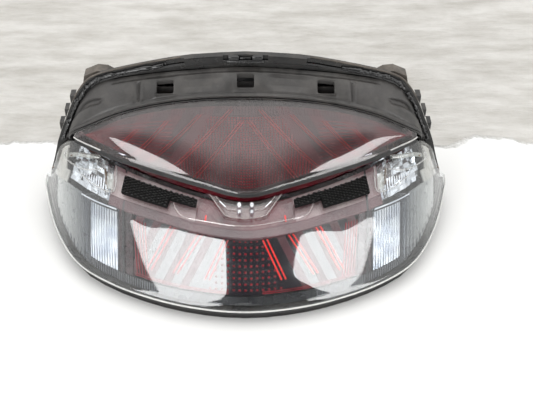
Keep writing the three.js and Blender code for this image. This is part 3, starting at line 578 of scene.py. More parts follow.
def add_upper_lens():
    columns = np.linspace(0.004, 0.996, 181)
    grid = dome(columns[:, None], np.linspace(0, 1, 40)[None, :])
    grid = with_lip(grid, out_of(dome_front, columns), ((0.5, -1.6), (0.75, -0.9), (0.5, -0.3)))
    piece("upper_lens_shell", thick(grid, 2.0), "smoked_lens", replaces=["upper_outer_lens"])
    # The beads at the dome's tips are whitened by their milky material: a painted highlight.
    for side, tip, end in (("left", 0.004, 0.2), ("right", 0.996, 0.8)):
        path = beside(dome_front, np.linspace(tip, end, 40), 0.9, -0.4)
        piece(f"upper_lens_rim_{side}", bead(path, 0.55), "rim_painted_highlight")


def add_gasket():
    """A rubber gasket with two beads under the upper lens, from tip to tip."""
    path = beside(dome_front, np.linspace(0.03, 0.97, 200), 0.4, -2.2)
    profile = [(-0.8, 1.3), (0.5, 1.4), (1.25, 1.0), (1.3, 0.45), (0.85, 0.1), (1.4, -0.2), (1.7, -0.8),
               (1.2, -1.3), (-0.8, -1.3)]
    piece("lens_gasket", sweep(path, profile), "seal_rubber", replaces=["upper_lens_gasket"], sharp=60)


def under_lower(u, w):
    return over(lower, u, w, -INNER_DEPTH)


def under_dome(u, v):
    return over(dome, u, v, -MESH_DEPTH)


# Slanting lines on the inner lenses, as (x, v) at their upper and lower ends, for the right half.
LOWER_LINES = [((13.5, 0.96), (27, 0.34)), ((31.5, 0.96), (49.5, 0.34)), ((51, 0.96), (68, 0.30))]
UPPER_LINES = [((2.6, 0.78), (36, 0.02)), ((10.3, 0.92), (53, 0.04)), ((32, 0.86), (69, 0.04)),
               ((55, 0.78), (80, 0.06)), ((76, 0.66), (93, 0.08))]


def line_ribs(surface, inner, lines, width, height, pair, signs=(-1, 1)):
    """Double ribs on an inner lens; `pair` is half the distance between the two ribs of a line."""
    shapes = []
    for sign in signs:
        for (x0, v0), (x1, v1) in lines:
            for shift in (-pair, pair):
                ends = (spot(surface, sign * x0 + shift, v0), spot(surface, sign * x1 + shift, v1))
                shapes.append(rib(inner, *ends, width, height, -0.1))
    return shapes


def cells(inner, places, width, height):
    """Small square pyramids on a surface at (u, v) places; width and height are in millimetres."""
    u, v = np.array(places).T
    middle = inner(u, v)
    normals = normal_of(inner, u, v)
    side = unit(np.cross((0, 1, 0), normals))
    front = np.cross(normals, side)
    shape = Shape()
    for m, n, s, f in zip(middle, normals, side, front):
        square = [(s * a + f * b) * width for a, b in ((-1, -1), (1, -1), (1, 1), (-1, 1))]
        base = [m + corner / 2 - n * 0.15 for corner in square]
        shape.add(base + [m + corner * 0.18 + n * height for corner in square], BOX_FACES)
    return shape


def add_lower_inner():
    edge = spot(face, HALF_RED - 5, 0.5)[0]
    rows = np.concatenate([np.linspace(0.14, 0.94, 30), np.linspace(0.95, 1.05, 7), np.linspace(1.06, 1.14, 4)])
    grid = under_lower(np.linspace(1 - edge, edge, 121)[:, None], rows[None, :])
    piece("red_lens_plate", thick(grid, 1.4), "inner_lens_red", ["lower_inner_lens"])
    # The left half's ribs take the darker copy of rib_red: painted shade, as if that half lay in shade.
    for (side, sign), look in zip(SIDES, ("rib_red_painted_shade", "rib_red")):
        lines = line_ribs(face, under_lower, LOWER_LINES, 1.25, 0.9, 1.5, [sign])
        piece(f"red_lens_ribs_{side}", lines, look)
    dots = [spot(face, x, v) for x in np.arange(-25.2, 25.3, 4.2) for v in np.arange(0.22, 0.96, 0.088)
            if abs(x) + 21.8 * v < 31.8]
    piece("red_lens_dots", cells(under_lower, dots, 1.7, 0.7), "dot_red")
    fine, ends = [], []
    for x in np.arange(12) * 2.6 + 33.5:
        for sign in (-1, 1):
            run = (spot(face, sign * x, 0.94), spot(face, sign * (x + 13.5), 0.2))
            fine.append(rib(under_lower, *run, 0.7, 0.35, -0.05))
    piece("red_lens_fine_ribs", fine, "inner_lens_red")
    for sign in (-1, 1):
        for k in range(5):
            x = sign * (HALF_RED - 5.5 - 2.0 * k)
            ends.append(rib(under_lower, spot(face, x, 0.9), spot(face, x - sign * 2.0, 0.2), 0.8, 0.8, 0.1))
        for v in (0.165, 0.19):
            run = (spot(face, sign * (HALF_RED - 6), v), spot(face, sign * 12, v))
            ends.append(rib(under_lower, *run, 0.6, 0.6, 0.05, 30))
    piece("red_lens_side_ribs", ends, "dot_red")


def add_upper_inner():
    grid = under_dome(np.linspace(0.03, 0.97, 161)[:, None], np.linspace(0.02, 0.97, 40)[None, :])
    piece("upper_red_plate", thick(grid, 1.3), "upper_inner_red", ["upper_inner_lens"])
    lines = line_ribs(dome, under_dome, UPPER_LINES, 0.42, 0.8, 1.15)
    piece("upper_red_lines", lines, "upper_line")
    known_u = np.linspace(0, 1, 241)
    known_x = dome(known_u, 0.4)[:, 0]
    places = [(float(np.interp(x, known_x, known_u)), v)
              for x in np.arange(-60, 60.1, 2.1) for v in np.arange(0.05, 0.84, 0.031)
              if abs(x) < 52 * (1.0 - 0.62 * v)]
    piece("upper_red_cells", cells(under_dome, places, 1.35, 0.5), "cell_red")
    border = [rib(under_dome, (u, 0.86), (u, 0.95), 0.7, 0.6, -0.05, 4) for u in np.linspace(0.06, 0.94, 150)]
    piece("upper_border_ribs", border, "ledge_red")
    levels = [rib(under_dome, (low, v), (high, v), 0.35, 0.3, -0.05, 30)
              for v in np.arange(0.1, 0.84, 0.062) for low, high in ((0.1, 0.36), (0.64, 0.9))]
    piece("upper_level_lines", levels, "cell_red")


FLUTE_PITCH = 2.0
FLUTE_START, FLUTE_END = HALF_RED + 6.5, 111.5
SIDE_END = 143.5


def plate_under(surface, xs, rows, depth, thickness, sign):
    """A plate at a depth under a surface, over a run of x and v; depth may vary with x."""
    xs, depth = np.asarray(xs, float), np.broadcast_to(depth, np.shape(xs))
    u = place_of_x(surface, sign * xs[:, None], rows[None, :])
    v = np.broadcast_to(rows, u.shape)
    top = over(surface, u, v, -depth[:, None] + 0 * v)
    base = over(surface, u, v, -depth[:, None] - thickness + 0 * v)
    return sheet(top, base) if sign > 0 else sheet(top[::-1], base[::-1])


def add_flutes():
    """Fluted inner lenses of the turn signals, with painted shade in their grooves and the silver plates beyond
    them.
    """
    for side, sign in SIDES:
        xs = np.arange(FLUTE_START, FLUTE_END, FLUTE_PITCH / 8)
        depth = INNER_DEPTH - 1.4 - 0.9 * np.abs(np.sin(np.pi * (xs - xs[0]) / FLUTE_PITCH)) ** 0.7
        flutes = plate_under(face, xs, np.linspace(0.13, 0.93, 14), depth, 1.6, sign)
        piece(f"flute_lens_fine_{side}", flutes, "flute_white", [f"flute_lens_{side}"],
              sharp=60)
        # Dark strips in the grooves between the flutes: painted shade.
        groove_painted_shades = [rib(face, spot(face, x, 0.14), spot(face, x, 0.92), 0.62, 0.42, -INNER_DEPTH + 1.35)
                for x in sign * np.arange(FLUTE_START, FLUTE_END, FLUTE_PITCH)]
        piece(f"flute_gaps_{side}", groove_painted_shades, "flute_groove_painted_shade")
        xs = np.arange(FLUTE_END + 0.4, SIDE_END, 0.45)
        depth = 4.4 - 0.3 * np.sin((xs - FLUTE_END) * 2 * np.pi / 3.1)
        silver = plate_under(face, xs, np.linspace(0.06, 0.99, 18), depth, 1.2, sign)
        piece(f"side_plate_{side}", silver, "side_silver", sharp=60)
        xs = np.arange(HALF_RED - 4.6, FLUTE_START - 0.3, 0.9)
        wall = plate_under(face, xs, np.linspace(0.1, 0.97, 12), 5.6, 1.0, sign)
        piece(f"turn_wall_{side}", wall, "wall_dark")
        xs = np.arange(FLUTE_START, FLUTE_END + 8, 2.0)
        bands = ((0.93, 0.99, "apron_dark"), (0.955, 0.975, "flute_white"))
        for number, (low, high, look) in enumerate(bands):
            band = plate_under(face, xs, np.linspace(low, high, 4), 4.2 - 0.4 * number, 0.8, sign)
            piece(f"flute_band_{side}_{number}", band, look)


def add_apron():
    """The dark inner strip along the lens's rim, with fine ribs towards its ends."""
    columns = np.linspace(0.015, 0.985, 160)[:, None]
    grid = over(face, columns, np.linspace(0.015, 0.14, 6)[None, :], -4.6)
    piece("inner_apron", thick(grid, 1.0), "apron_dark")
    ribs = [rib(face, spot(face, sign * x, 0.03), spot(face, sign * x, 0.135), 0.7, 0.5, -4.7, 4)
            for sign in (-1, 1) for x in np.arange(50.0, 142.0, 1.7)]
    piece("inner_apron_ribs", ribs, "apron_rib")


# ------------------------------------------------------------------ ledge
def add_ledge_floor():
    """The red plates under the ledge: a mauve band along the crest, pale sides and a dark middle."""
    floors = (("front", "ledge_red", (0.05, 0.30), (0.262, 0.738)),
              ("left", "ledge_pale", (0.30, 0.98), (0.262, 0.415)),
              ("middle", "ledge_dark", (0.30, 0.98), (0.4152, 0.5848)),
              ("right", "ledge_pale", (0.30, 0.98), (0.585, 0.738)))
    for name, look, rows, run in floors:
        grid = over(ledge, np.linspace(*run, 60)[:, None], np.linspace(*rows, 12)[None, :], -4.2)
        piece(f"ledge_plate_{name}", thick(grid, 1.2), look)
    for side, low, high in (("left", 0.012, 0.15), ("right", 0.85, 0.988)):
        columns = np.linspace(low, high, 24)[:, None]
        reach = np.clip(1.0 - (np.minimum(columns, 1 - columns) - 0.09) / 0.06, 0.3, 1.0)
        grid = over(ledge, columns, 0.03 + reach * np.linspace(0, 0.94, 12)[None, :], -2.9)
        piece(f"ledge_end_{side}", thick(grid, 1.0), "frosted_end")


# Front edge of the raised middle of the ledge, as (x, v), from its left hook to its right one.
STEP_LINE = [(-49, 0.62), (-48, 0.46), (-44, 0.30), (-38, 0.26), (-20, 0.30), (0, 0.32),
             (20, 0.32), (36, 0.30), (42, 0.34), (45, 0.48), (46, 0.62)]


def ledge_path(points, height, count):
    """A smooth path at a height over the ledge, through points given by x and v."""
    points = np.array(points, float)
    smooth = spline(np.column_stack([points, np.zeros(len(points))]), count)
    u = place_of_x(ledge, smooth[:, 0], smooth[:, 1])
    return over(ledge, u, smooth[:, 1], height)


def add_step_line():
    piece("ledge_step", bead(ledge_path(STEP_LINE, 0.25, 120), 0.6, 8, 0.8), "soft_edge")
    for number, x in enumerate((-27, 27)):
        u = spot(ledge, x, 0.4)[0]
        mark = rib(ledge, (u, 0.33), (u, 0.5), 1.1, 0.3, -2.4, 5)
        piece(f"ledge_red_mark_{number}", mark, "rib_red")


PAD_OUTSIDE, PAD_STEP, PAD_END, PAD_HEIGHT = 0.29, 0.371, 0.416, 3.9


def pad_rows(u):
    """The pad's lower and upper edge, as v; its inner end is narrower."""
    return (0.34, 0.76) if u < PAD_STEP else (0.56, 0.77)


def hook(u, v, chance):
    """One small bent loop of a pad's face."""
    foot = over(ledge, u, v, PAD_HEIGHT - 1.3)
    up = normal_of(ledge, np.array(u), np.array(v))
    turn = chance.uniform(-0.5, 0.5)
    lean = np.array((math.cos(turn), math.sin(turn), 0)) * 0.62
    tall = chance.uniform(1.0, 1.35)
    path = [foot - lean, foot - lean * 0.9 + up * 0.6 * tall, foot + up * tall,
            foot + lean * 0.9 + up * 0.6 * tall, foot + lean]
    return sweep(path, disc(0.36, 6), up=(0.31, 0.95, 0.05))


def add_pads():
    """Foam pads with a hooked face: a slab and rows of small bent hooks."""
    columns = np.concatenate([np.linspace(PAD_OUTSIDE, PAD_STEP - 0.0005, 24),
                              np.linspace(PAD_STEP + 0.0005, PAD_END, 14)])
    for side, sign in SIDES:
        chance = random.Random(SEED + (side == "right"))
        mirror = (lambda u: u) if side == "left" else (lambda u: 1 - u)
        top, base = [], []
        for k, u in enumerate(columns):
            low, high = pad_rows(u)
            ragged = 0.006 * math.sin(k * 2.9) + chance.uniform(-0.006, 0.006)
            v = np.linspace(low, high + ragged, 12)
            height = np.full(12, PAD_HEIGHT - 1.0)
            height[[0, -1]] -= 0.7
            height += np.array([chance.uniform(-0.12, 0.12) for _ in v])
            top.append(over(ledge, mirror(u), v, height))
            base.append(over(ledge, mirror(u), v, 0.35))
        slab = sheet(np.array(top)[::-sign], np.array(base)[::-sign])
        piece(f"foam_pad_back_{side}", slab, "pad_backing", [f"foam_pad_{side}"])
        hooks = []
        u, row = PAD_OUTSIDE + 0.002, 0
        while u < PAD_END - 0.001:
            low, high = pad_rows(u)
            v = low + 0.02 + (0.035 if row % 2 else 0.0)
            while v < high + 0.012:
                place = (mirror(u) + chance.uniform(-0.0006, 0.0006), v + chance.uniform(-0.005, 0.005))
                hooks.append(hook(*place, chance))
                v += 0.07
            u += 0.0047
            row += 1
        made = piece(f"foam_pad_soft_{side}", hooks, "pad_foam", sharp=50)


# Heights and radii of a locating pin.
PIN_PROFILE = ((0.3, 1.4), (0.7, 2.1), (2.6, 2.2), (3.5, 1.7), (4.2, 1.6), (4.9, 2.1), (7.6, 2.0),
               (8.6, 1.4), (9.0, 0.4))


def add_bracket():
    """The clear bracket on the ledge, with its bright edges and two chrome pins."""
    low, high = 0.5, 0.97
    grid = []
    for s in np.linspace(-1, 1, 25):
        rise = 2.0 if abs(s) < 0.97 else 0.9
        halves = [(12.5 + (23.5 - 12.5) * (v - low) / (high - low), v) for v in np.linspace(low, high, 8)]
        grid.append([over(ledge, *spot(ledge, s * half, v), rise) for half, v in halves])
    shell = thick(np.array(grid), 1.3)
    piece("center_bracket_clear", shell, "bracket_clear", ["center_bracket"])
    bars, bright = [], []
    for sign in (-1, 1):
        inner_bar = [(sign * x, v) for x, v in ((20, 0.96), (16, 0.82), (12.5, 0.71), (11, 0.7), (5.6, 0.71))]
        outer_bar = [(sign * 24.4, 0.99), (sign * 19, 0.76), (sign * 13.6, 0.52)]
        bars += [bead(ledge_path(inner_bar, 3.0, 30), 0.45), bead(ledge_path(outer_bar, 2.2, 24), 0.45)]
        bright.append(bead(ledge_path([(sign * 17.2, 0.84), (sign * 12.9, 0.715)], 3.7, 8), 0.5))
    bars.append(bead(ledge_path([(-13.6, 0.52), (0, 0.5), (13.6, 0.52)], 2.0, 20), 0.35))
    piece("bracket_bars", bars, "soft_edge")
    piece("bracket_bright_bars", bright, "reflector_chrome")
    for side, sign in SIDES:
        x = sign * 4.2
        foot = ledge(place_of_x(ledge, x, 0.7), 0.7) + np.array((0, 0, 0.6))
        rings = [[(x + a * 0.8, foot[1] + b, foot[2] + height) for a, b in disc(radius, 20)]
                 for height, radius in PIN_PROFILE]
        piece(f"pin_{side}", loft(rings), "reflector_chrome", replaces=[f"locating_pin_{side}"], sharp=50)


def add_pods():
    """The clear corner pods at both ends of the ledge."""
    for side, sign in SIDES:
        chance = random.Random(SEED * 3)

        def on(points, height, count, *section):
            return bead(ledge_path([(sign * x, v) for x, v in points], height, count), *section)

        bar = on([(103, 0.92), (110, 0.84), (118, 0.76), (125, 0.66)], 1.3, 24, 2.1, 12, 0.75)
        piece(f"pod_bar_clear_{side}", bar, "pod_clear", [f"pod_bar_{side}"], sharp=60)
        hole = on([(122.5, 0.665), (123.2, 0.655)], 2.9, 3, 0.55)
        piece(f"pod_hole_{side}", hole, "old_glue")
        rims = [
            on([(100, 0.72), (107, 0.6), (116, 0.5), (126, 0.5), (131, 0.6), (128, 0.8)], 0.5, 40, 0.7),
            on([(98, 0.95), (99, 0.75), (97, 0.5), (95, 0.3)], 0.4, 30, 0.6),
            on([(90.5, 0.9), (90, 0.6), (91, 0.34), (97, 0.27), (106, 0.3), (116, 0.38)], 0.4, 50, 0.55),
        ]
        piece(f"pod_rims_{side}", rims, "pod_edge")
        ribs = []
        for k in range(9):
            x = sign * (99.5 + 1.9 * k)
            run = (spot(ledge, x, 0.3 + 0.012 * k), spot(ledge, x, 0.54 - 0.01 * k))
            ribs.append(rib(ledge, *run, 1.1, 1.1, -2.6, 6))
        piece(f"pod_ribs_{side}", ribs, "reflector_chrome")
        ends = sorted(spot(ledge, sign * x, 0.5)[0] for x in (89, 127))
        u, v = np.meshgrid(np.linspace(*ends, 17), np.linspace(0.16, 0.97, 9), indexing="ij")
        depth = -4.2 - np.array([[chance.uniform(0, 3.2) for _ in range(9)] for _ in range(17)])
        piece(f"corner_facets_{side}", thick(over(ledge, u, v, depth), 0.8), "reflector_chrome",
              replaces=[f"corner_reflector_{side}"], sharp=8)
        swollen = [(x, 0.3 + 1.3 * math.sin(math.pi * (x - 91.5) / 5) ** 0.5)
                   for x in np.linspace(91.5, 96.5, 5)]
        blister = [[over(ledge, *spot(ledge, sign * x, v), height) for v in np.linspace(0.34, 0.68, 6)]
                   for x, height in swollen]
        piece(f"pod_block_{side}", thick(np.array(blister[::sign]), 1.0), "pod_clear", sharp=60)
        slot = on([(98.6, 0.74), (97.6, 0.58), (96.6, 0.42)], 0.35, 12, 0.75, 6, 0.5)
        piece(f"pod_slot_{side}", slot, "old_glue")
        glue = []
        for t in np.linspace(0, 1, 14):
            u = 0.004 + 0.05 * t if sign < 0 else 0.996 - 0.05 * t
            glue.append(over(lower, u, 1.12 + 0.05 * t + chance.uniform(-0.03, 0.03), 0.1))
        piece(f"glue_line_{side}", bead(glue, 0.7, 6, 0.6), "old_glue", sharp=70)


# ------------------------------------------------------------------ shroud and housing
SLOT_SIZE = (12.0, 7.4)
SLOTS = [(-56, 119.7), (0, 120.3), (56, 119.7)]
QUARTERS = ((1, 1), (-1, 1), (-1, -1), (1, -1))


def climb(value, start, width):
    """0 up to `start`, then rising to 1 over `width`."""
    return np.clip((value - start) / width, 0, 1)


def fall(value, end, width):
    """1, then falling over `width` to 0 at `end`."""
    return np.clip((end - value) / width, 0, 1)


def hump(value, middle, width):
    """A smooth bump, 1 high."""
    return np.exp(-(((value - middle) / width) ** 2))


def shroud_relief(spots, v):
    """How far the shroud's moulded details stand above its plain face or lie under it."""
    x = np.abs(spots[..., 0])
    height = 0.7 * hump(v, 0.05, 0.035) - 0.5 * hump(v, 0.125, 0.03)
    run = climb(v, 0.12, 0.06) * fall(v, 0.78, 0.06)
    height += (0.8 * hump(x, 73.0, 0.9) - 1.8 * hump(x, 75.5, 1.3)) * run
    height -= 1.1 * climb(x, 14, 6) * fall(x, 47, 8) * climb(v, 0.2, 0.2) * fall(v, 0.78, 0.12)
    height -= 0.8 * climb(v, 0.8, 0.06) * fall(x, 96, 4)
    crescent = v - (0.5 + 0.42 * climb(x, 99, 26) ** 1.3)
    width = np.where(crescent < 0, 0.14, 0.035)
    height -= 3.4 * hump(crescent, 0, width) * climb(x, 99, 6) * fall(x, 128, 6)
    for slot_x, slot_y in SLOTS:
        beyond = np.maximum(np.abs(spots[..., 0] - slot_x) - SLOT_SIZE[0] / 2,
                            np.abs(spots[..., 1] - slot_y) - SLOT_SIZE[1] / 2)
        height += 0.45 * hump(beyond, 1.0, 0.7)
    return height + 0.25 * np.sin(x * 0.06 + 1.0) * np.sin(math.pi * v)


def add_shroud():
    u, v = np.meshgrid(np.linspace(0, 1, 301), np.linspace(0, 1, 46), indexing="ij")
    spots = shroud_face(u, v)
    top = spots + normal_of(shroud_face, u, v) * shroud_relief(spots, v)[..., None]
    cover = sheet(top, over(shroud_face, u, v, -2.4))
    made = piece("upper_shroud_cover", cover, "shroud_plastic", replaces=["upper_shroud"])
    cutters, wells = [], []
    for slot_x, slot_y in SLOTS:
        half_x, half_y = SLOT_SIZE[0] / 2, SLOT_SIZE[1] / 2
        outline = []
        for quarter, (cx, cy) in enumerate(QUARTERS):
            middle_x, middle_y = slot_x + cx * (half_x - 1), slot_y + cy * (half_y - 1)
            outline += [(middle_x + math.cos(angle), middle_y + math.sin(angle))
                        for angle in np.radians(np.linspace(quarter * 90, quarter * 90 + 90, 5))]
        cutters.append(loft([[(a, b, z) for a, b in outline] for z in (90, 140)]))
        level = float(shroud_face(place_of_x(shroud_face, slot_x, 0.45), 0.45)[2])
        half_x, half_y = half_x + 0.05, half_y + 0.05
        inner, outer = ([(slot_x + cx * half_x * a, slot_y + cy * half_y * b) for cx, cy in QUARTERS]
                        for a, b in ((1, 1), (1.16, 1.25)))
        for k in range(4):
            n = (k + 1) % 4
            wells.append(loft([[(*inner[k], z), (*outer[k], z), (*outer[n], z), (*inner[n], z)]
                               for z in (level - 9, level - 2.6)]))
    carve(made, cutters)
    piece("slot_wells", wells, "shroud_plastic")
    path = shroud_face(np.linspace(0.01, 0.99, 200), 0.0) + np.array((0, -0.6, -1.2))
    piece("shroud_front_edge", bead(path, 0.7), "housing_plastic")


def sealant(low, high, chance):
    """A squeezed-out string of sealant along part of the flange, with drops beside it."""
    middle = flange_edge(np.linspace(low, high, 60))
    inward = unit(np.array((0.0, 0, 60)) - middle * np.array((1, 0, 1)))
    wander = np.array([chance.uniform(-0.5, 0.5) for _ in middle])
    path = middle + inward * (3.4 + wander)[:, None] + np.array((0, -0.8, 0))
    swell = np.array([chance.uniform(0.7, 2.1) for _ in middle])
    swell = np.convolve(swell, (0.25, 0.5, 0.25), "same")
    out = np.cross(unit(np.gradient(path, axis=0)), (0, 1, 0))
    front = np.array((0, -1, 0))
    blobs = [loft([[p + o * r * math.cos(a) + front * r * math.sin(a) for a in np.arange(8) * math.pi / 4]
                   for p, o, r in zip(path, out, swell)])]
    for _ in range(26):
        foot = path[chance.randrange(len(path))]
        p = foot + np.array([chance.uniform(-1.6, 1.6), -0.6, chance.uniform(-1.4, 1.4)])
        r = chance.uniform(0.45, 1.35)
        rings = [[p + np.array((math.cos(a) * r * c, -s * r, math.sin(a) * r * c))
                  for a in np.arange(6) * math.pi / 3] for c, s in ((1.0, -0.6), (0.9, 0.3), (0.4, 0.9))]
        blobs.append(loft(rings))
    return blobs


def add_flange_trim():
    """Sealant squeezed out of the flange's groove, the flat bars on its top edge, a painted highlight along
    that edge and the middle catch.
    """
    chance = random.Random(SEED)
    runs = (("top_left", (0.24, 0.40)), ("top_right", (0.62, 0.76)), ("side_left", (0.10, 0.24)),
            ("side_right", (0.77, 0.9)))
    for name, run in runs:
        piece(f"sealant_{name}", sealant(*run, chance), "sealant_black", sharp=70)
    profile = [(0.2, -5.6), (1.6, -5.4), (1.9, -5.0), (1.9, -0.5), (1.5, 0.0), (-2.6, 0.1), (-2.6, -0.6),
               (0.2, -0.8)]
    for side, low, high in (("left", 0.435, 0.478), ("right", 0.522, 0.565)):
        bar = sweep(flange_edge(np.linspace(low, high, 24)), profile)
        piece(f"flange_bar_{side}", bar, "housing_plastic", sharp=25)
    # A paler bead in ear plastic along the flange's top edge: a painted highlight.
    for side, low, high in (("left", 0.2, 0.43), ("right", 0.57, 0.8)):
        path = flange_edge(np.linspace(low, high, 60)) + np.array((0, 1.5, 0.1))
        piece(f"flange_top_painted_highlight_{side}", bead(path, 0.75, 6), "ear_plastic")
    catch = [block((-13, 126.8, 123.0), (13, 130.0, 125.2)), block((-12, 127.6, 125.0), (-4.5, 130.4, 128.0)),
             block((4.5, 127.6, 125.0), (12, 130.4, 128.0)), block((-4, 128.6, 125.0), (4, 130.2, 126.6))]
    piece("flange_catch", catch, "sealant_black", bevel=0.5)


def add_pan_strip():
    """The dark strip of the housing that shows under the lens's rim."""
    profile = ((0.3, -3.0), (0.7, -3.3), (0.7, -4.0), (-0.6, -5.2), (-3.4, -5.4), (-5.0, -5.0), (-5.0, -3.0))
    places = np.linspace(0.004, 0.996, 220)
    strip = loft(np.stack([beside(rim, places, out, up) for out, up in profile], axis=1))
    piece("pan_strip", strip, "pan_plastic", sharp=40)


# ------------------------------------------------------------------ bulb units at the back
HOLDER_RADIUS = 10.8
HOLDER_Z = 36.0
UNITS = [("tail_left", -40.0), ("tail_right", 40.0), ("turn_left", -112.0), ("turn_right", 112.0)]
TURNS = [0, 2 * math.pi / 3, 4 * math.pi / 3]      # where a holder's three lugs and grips are
WAIST, COLLAR = HOLDER_RADIUS - 0.6, HOLDER_RADIUS + 4.1
HOLDER_PROFILE = [(0, 152), (WAIST, 152), (HOLDER_RADIUS, 152.6), (HOLDER_RADIUS, 173), (COLLAR - 0.5, 173),
                  (COLLAR, 173.5), (COLLAR, 176), (COLLAR - 0.7, 176.6), (9.4, 176.6), (9.0, 177), (9.0, 183.4),
                  (8.4, 184), (6.6, 184), (6.6, 178.5), (0, 178.5)]
SEAL_PROFILE = [(11.3, 170.4), (13.7, 170.4), (14.1, 171.0), (13.6, 171.4), (14.0, 172.0), (13.6, 172.6),
                (11.3, 172.6), (11.3, 170.4)]
GLASS_PROFILE = [(0, 151.6), (6.5, 151.6), (6.9, 147.5), (8.2, 144), (9.6, 140.4), (10, 136), (9.8, 131),
                 (8.6, 126), (6.6, 122.4), (3.6, 119.9), (1.4, 119.3), (0, 119.2)]


def lug(x, angle, reach, half_width, low, high):
    """A block that stands out from a holder's axis at an angle."""
    made = block((0, low, -half_width), (reach, high, half_width))
    c, s = math.cos(angle), math.sin(angle)
    made.points = [(x + px * c + pz * s, py, HOLDER_Z - px * s + pz * c) for px, py, pz in made.points]
    return made


def filament(x):
    """A bulb's two posts and the coil between them."""
    posts = [sweep([(x + s * 2.2, 151, HOLDER_Z), (x + s * 2.6, 142, HOLDER_Z), (x + s * 3.4, 133, HOLDER_Z)],
                   disc(0.35, 6)) for s in (-1, 1)]
    run = np.linspace(0, 1, 70)
    angle = run * 2 * math.pi * 9
    coil = np.stack([x - 3.4 + 6.8 * run, 133 + 0.45 * np.cos(angle), HOLDER_Z + 0.45 * np.sin(angle)], axis=-1)
    return posts + [sweep(coil, disc(0.12, 5), up=(0.2, 0.3, 0.9))]


def add_bulb_units():
    for name, x in UNITS:
        kind, side = name.split("_")
        body = f"{kind}_socket_{side}"
        glass, glass_slot = ("amber_glass", "bulb_amber") if kind == "turn" else ("bulb_glass", "bulb_clear")
        core = [lathe(HOLDER_PROFILE, x, HOLDER_Z, 56)]
        core += [lug(x, angle, HOLDER_RADIUS + 2.7, 2.6, 153, 157.6) for angle in TURNS]
        grips = [lug(x, angle, HOLDER_RADIUS + 3.3, 1.4, 176.4, 183) for angle in TURNS]
        knurls = [lug(x, math.radians(a), COLLAR + 0.35, 0.35, 173.6, 175.9) for a in range(0, 360, 10)]
        blades = [block((x + s - 0.4, 178.6, HOLDER_Z - 2.4), (x + s + 0.4, 184.8, HOLDER_Z + 2.4))
                  for s in (-2.6, 2.6)]
        blades.append(block((x - 4, 178.2, HOLDER_Z - 2.4), (x + 4, 179.4, HOLDER_Z + 2.4)))
        piece(f"{name}_holder_body", core, "holder_plastic", [f"{name}_holder"], body, bevel=0.3)
        piece(f"{name}_holder_grips", grips, "holder_plastic", body=body, bevel=0.5)
        piece(f"{name}_holder_knurls", knurls, "holder_plastic", body=body)
        seal = lathe(SEAL_PROFILE, x, HOLDER_Z, 56)
        piece(f"{name}_seal_ring", seal, "seal_rubber", [f"{name}_seal"], body)
        bulb = lathe(GLASS_PROFILE, x, HOLDER_Z)
        piece(f"{name}_glass", bulb, glass, [f"{name}_bulb"], body, sharp=60)
        piece(f"{name}_filament", filament(x), "fastener_steel", body=body)
        piece(f"{name}_blades", blades, "insert_brass", [f"{name}_contacts"], body, bevel=0.12)


SCREWS = [(-76, 87), (76, 87), (-76, 14), (76, 14)]
SCREW_PROFILE = [(0, 170.35), (4.2, 170.35), (4.3, 171.4), (3.9, 172.4), (2.9, 173.0), (0, 173.2)]
CAP_PROFILE = [(0, 169.4), (7, 169.4), (7.5, 170.2), (7.6, 171), (7.3, 173.4), (6.6, 174.6), (5.2, 175.4),
               (2.4, 175.7), (2.0, 175.1), (0, 175.1)]


def add_back_fittings():
    for number, (x, z) in enumerate(SCREWS, 1):
        made = piece(f"screw_head_{number}", lathe(SCREW_PROFILE, x, z), "fastener_steel",
                     replaces=[f"housing_screw_{number}"])
        carve(made, [block((x - a, 171.8, z - b), (x + a, 175, z + b)) for a, b in ((2.5, 0.45), (0.45, 2.5))])
    profile = [(2.6, 161), (4.6, 161), (4.6, 168.9), (4.3, 169.6), (3.0, 169.6), (2.6, 169.2)]
    for k in range(7):
        thread_y = 168.6 - k * 1.1
        profile += [(2.6, thread_y), (2.95, thread_y - 0.35), (2.6, thread_y - 0.7)]
    profile.append((2.6, 161))
    for side, sign in SIDES:
        piece(f"brass_insert_{side}", lathe(profile, sign * 48, 90, 48), "insert_brass",
              replaces=[f"threaded_insert_{side}"])
    piece("vent_cap_rubber", lathe(CAP_PROFILE, 0, 62, 48), "seal_rubber", replaces=["vent_cap"])


# ------------------------------------------------------------------ CAD pieces that stay
# Each one's look and the width of its rounded edges.
CAD_LOOKS = {
    "rear_housing": ("housing_plastic", 0.5), "upper_lens_skirt": ("skirt_red", 0.0),
    "flange_seal": ("sealant_black", 0.3), "upper_reflector": ("reflector_chrome", 0.0),
    "lower_reflector": ("reflector_chrome", 0.0),
    **{f"turn_reflector_{side}": ("reflector_chrome", 0.0) for side, _ in SIDES},
    **{f"divider_{side}": ("seam_dark", 0.0) for side, _ in SIDES},
    **{f"mount_ear_{side}": ("ear_plastic", 0.8) for side, _ in SIDES},
    **{f"side_clip_{side}_{k}": ("housing_plastic", 0.6) for side, _ in SIDES for k in (1, 2, 3)},
}


def dress_cad():
    for name, (look, bevel) in CAD_LOOKS.items():
        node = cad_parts[name]
        node.data.materials.clear()
        node.data.materials.append(MATERIALS[look])
        if bevel:
            flat = node.modifiers.new("joined_faces", "DECIMATE")
            flat.decimate_type = "DISSOLVE"
            flat.angle_limit = math.radians(2.0)
            round_edges(node, bevel)


# ------------------------------------------------------------------ stage, light and camera
WALL_Y = 0.100                      # where the pale ground ends and the brushed backdrop begins
FLOOR_HALF, FLOOR_Z = 6.0, -0.0004


def stage_piece(name, points, material):
    """A flat board of the stage, which is no part of the lamp."""
    mesh = bpy.data.meshes.new(name)
    mesh.from_pydata(points, [], [tuple(range(len(points)))])
    mesh.materials.append(material)
    made = linked(name, mesh)
    return made


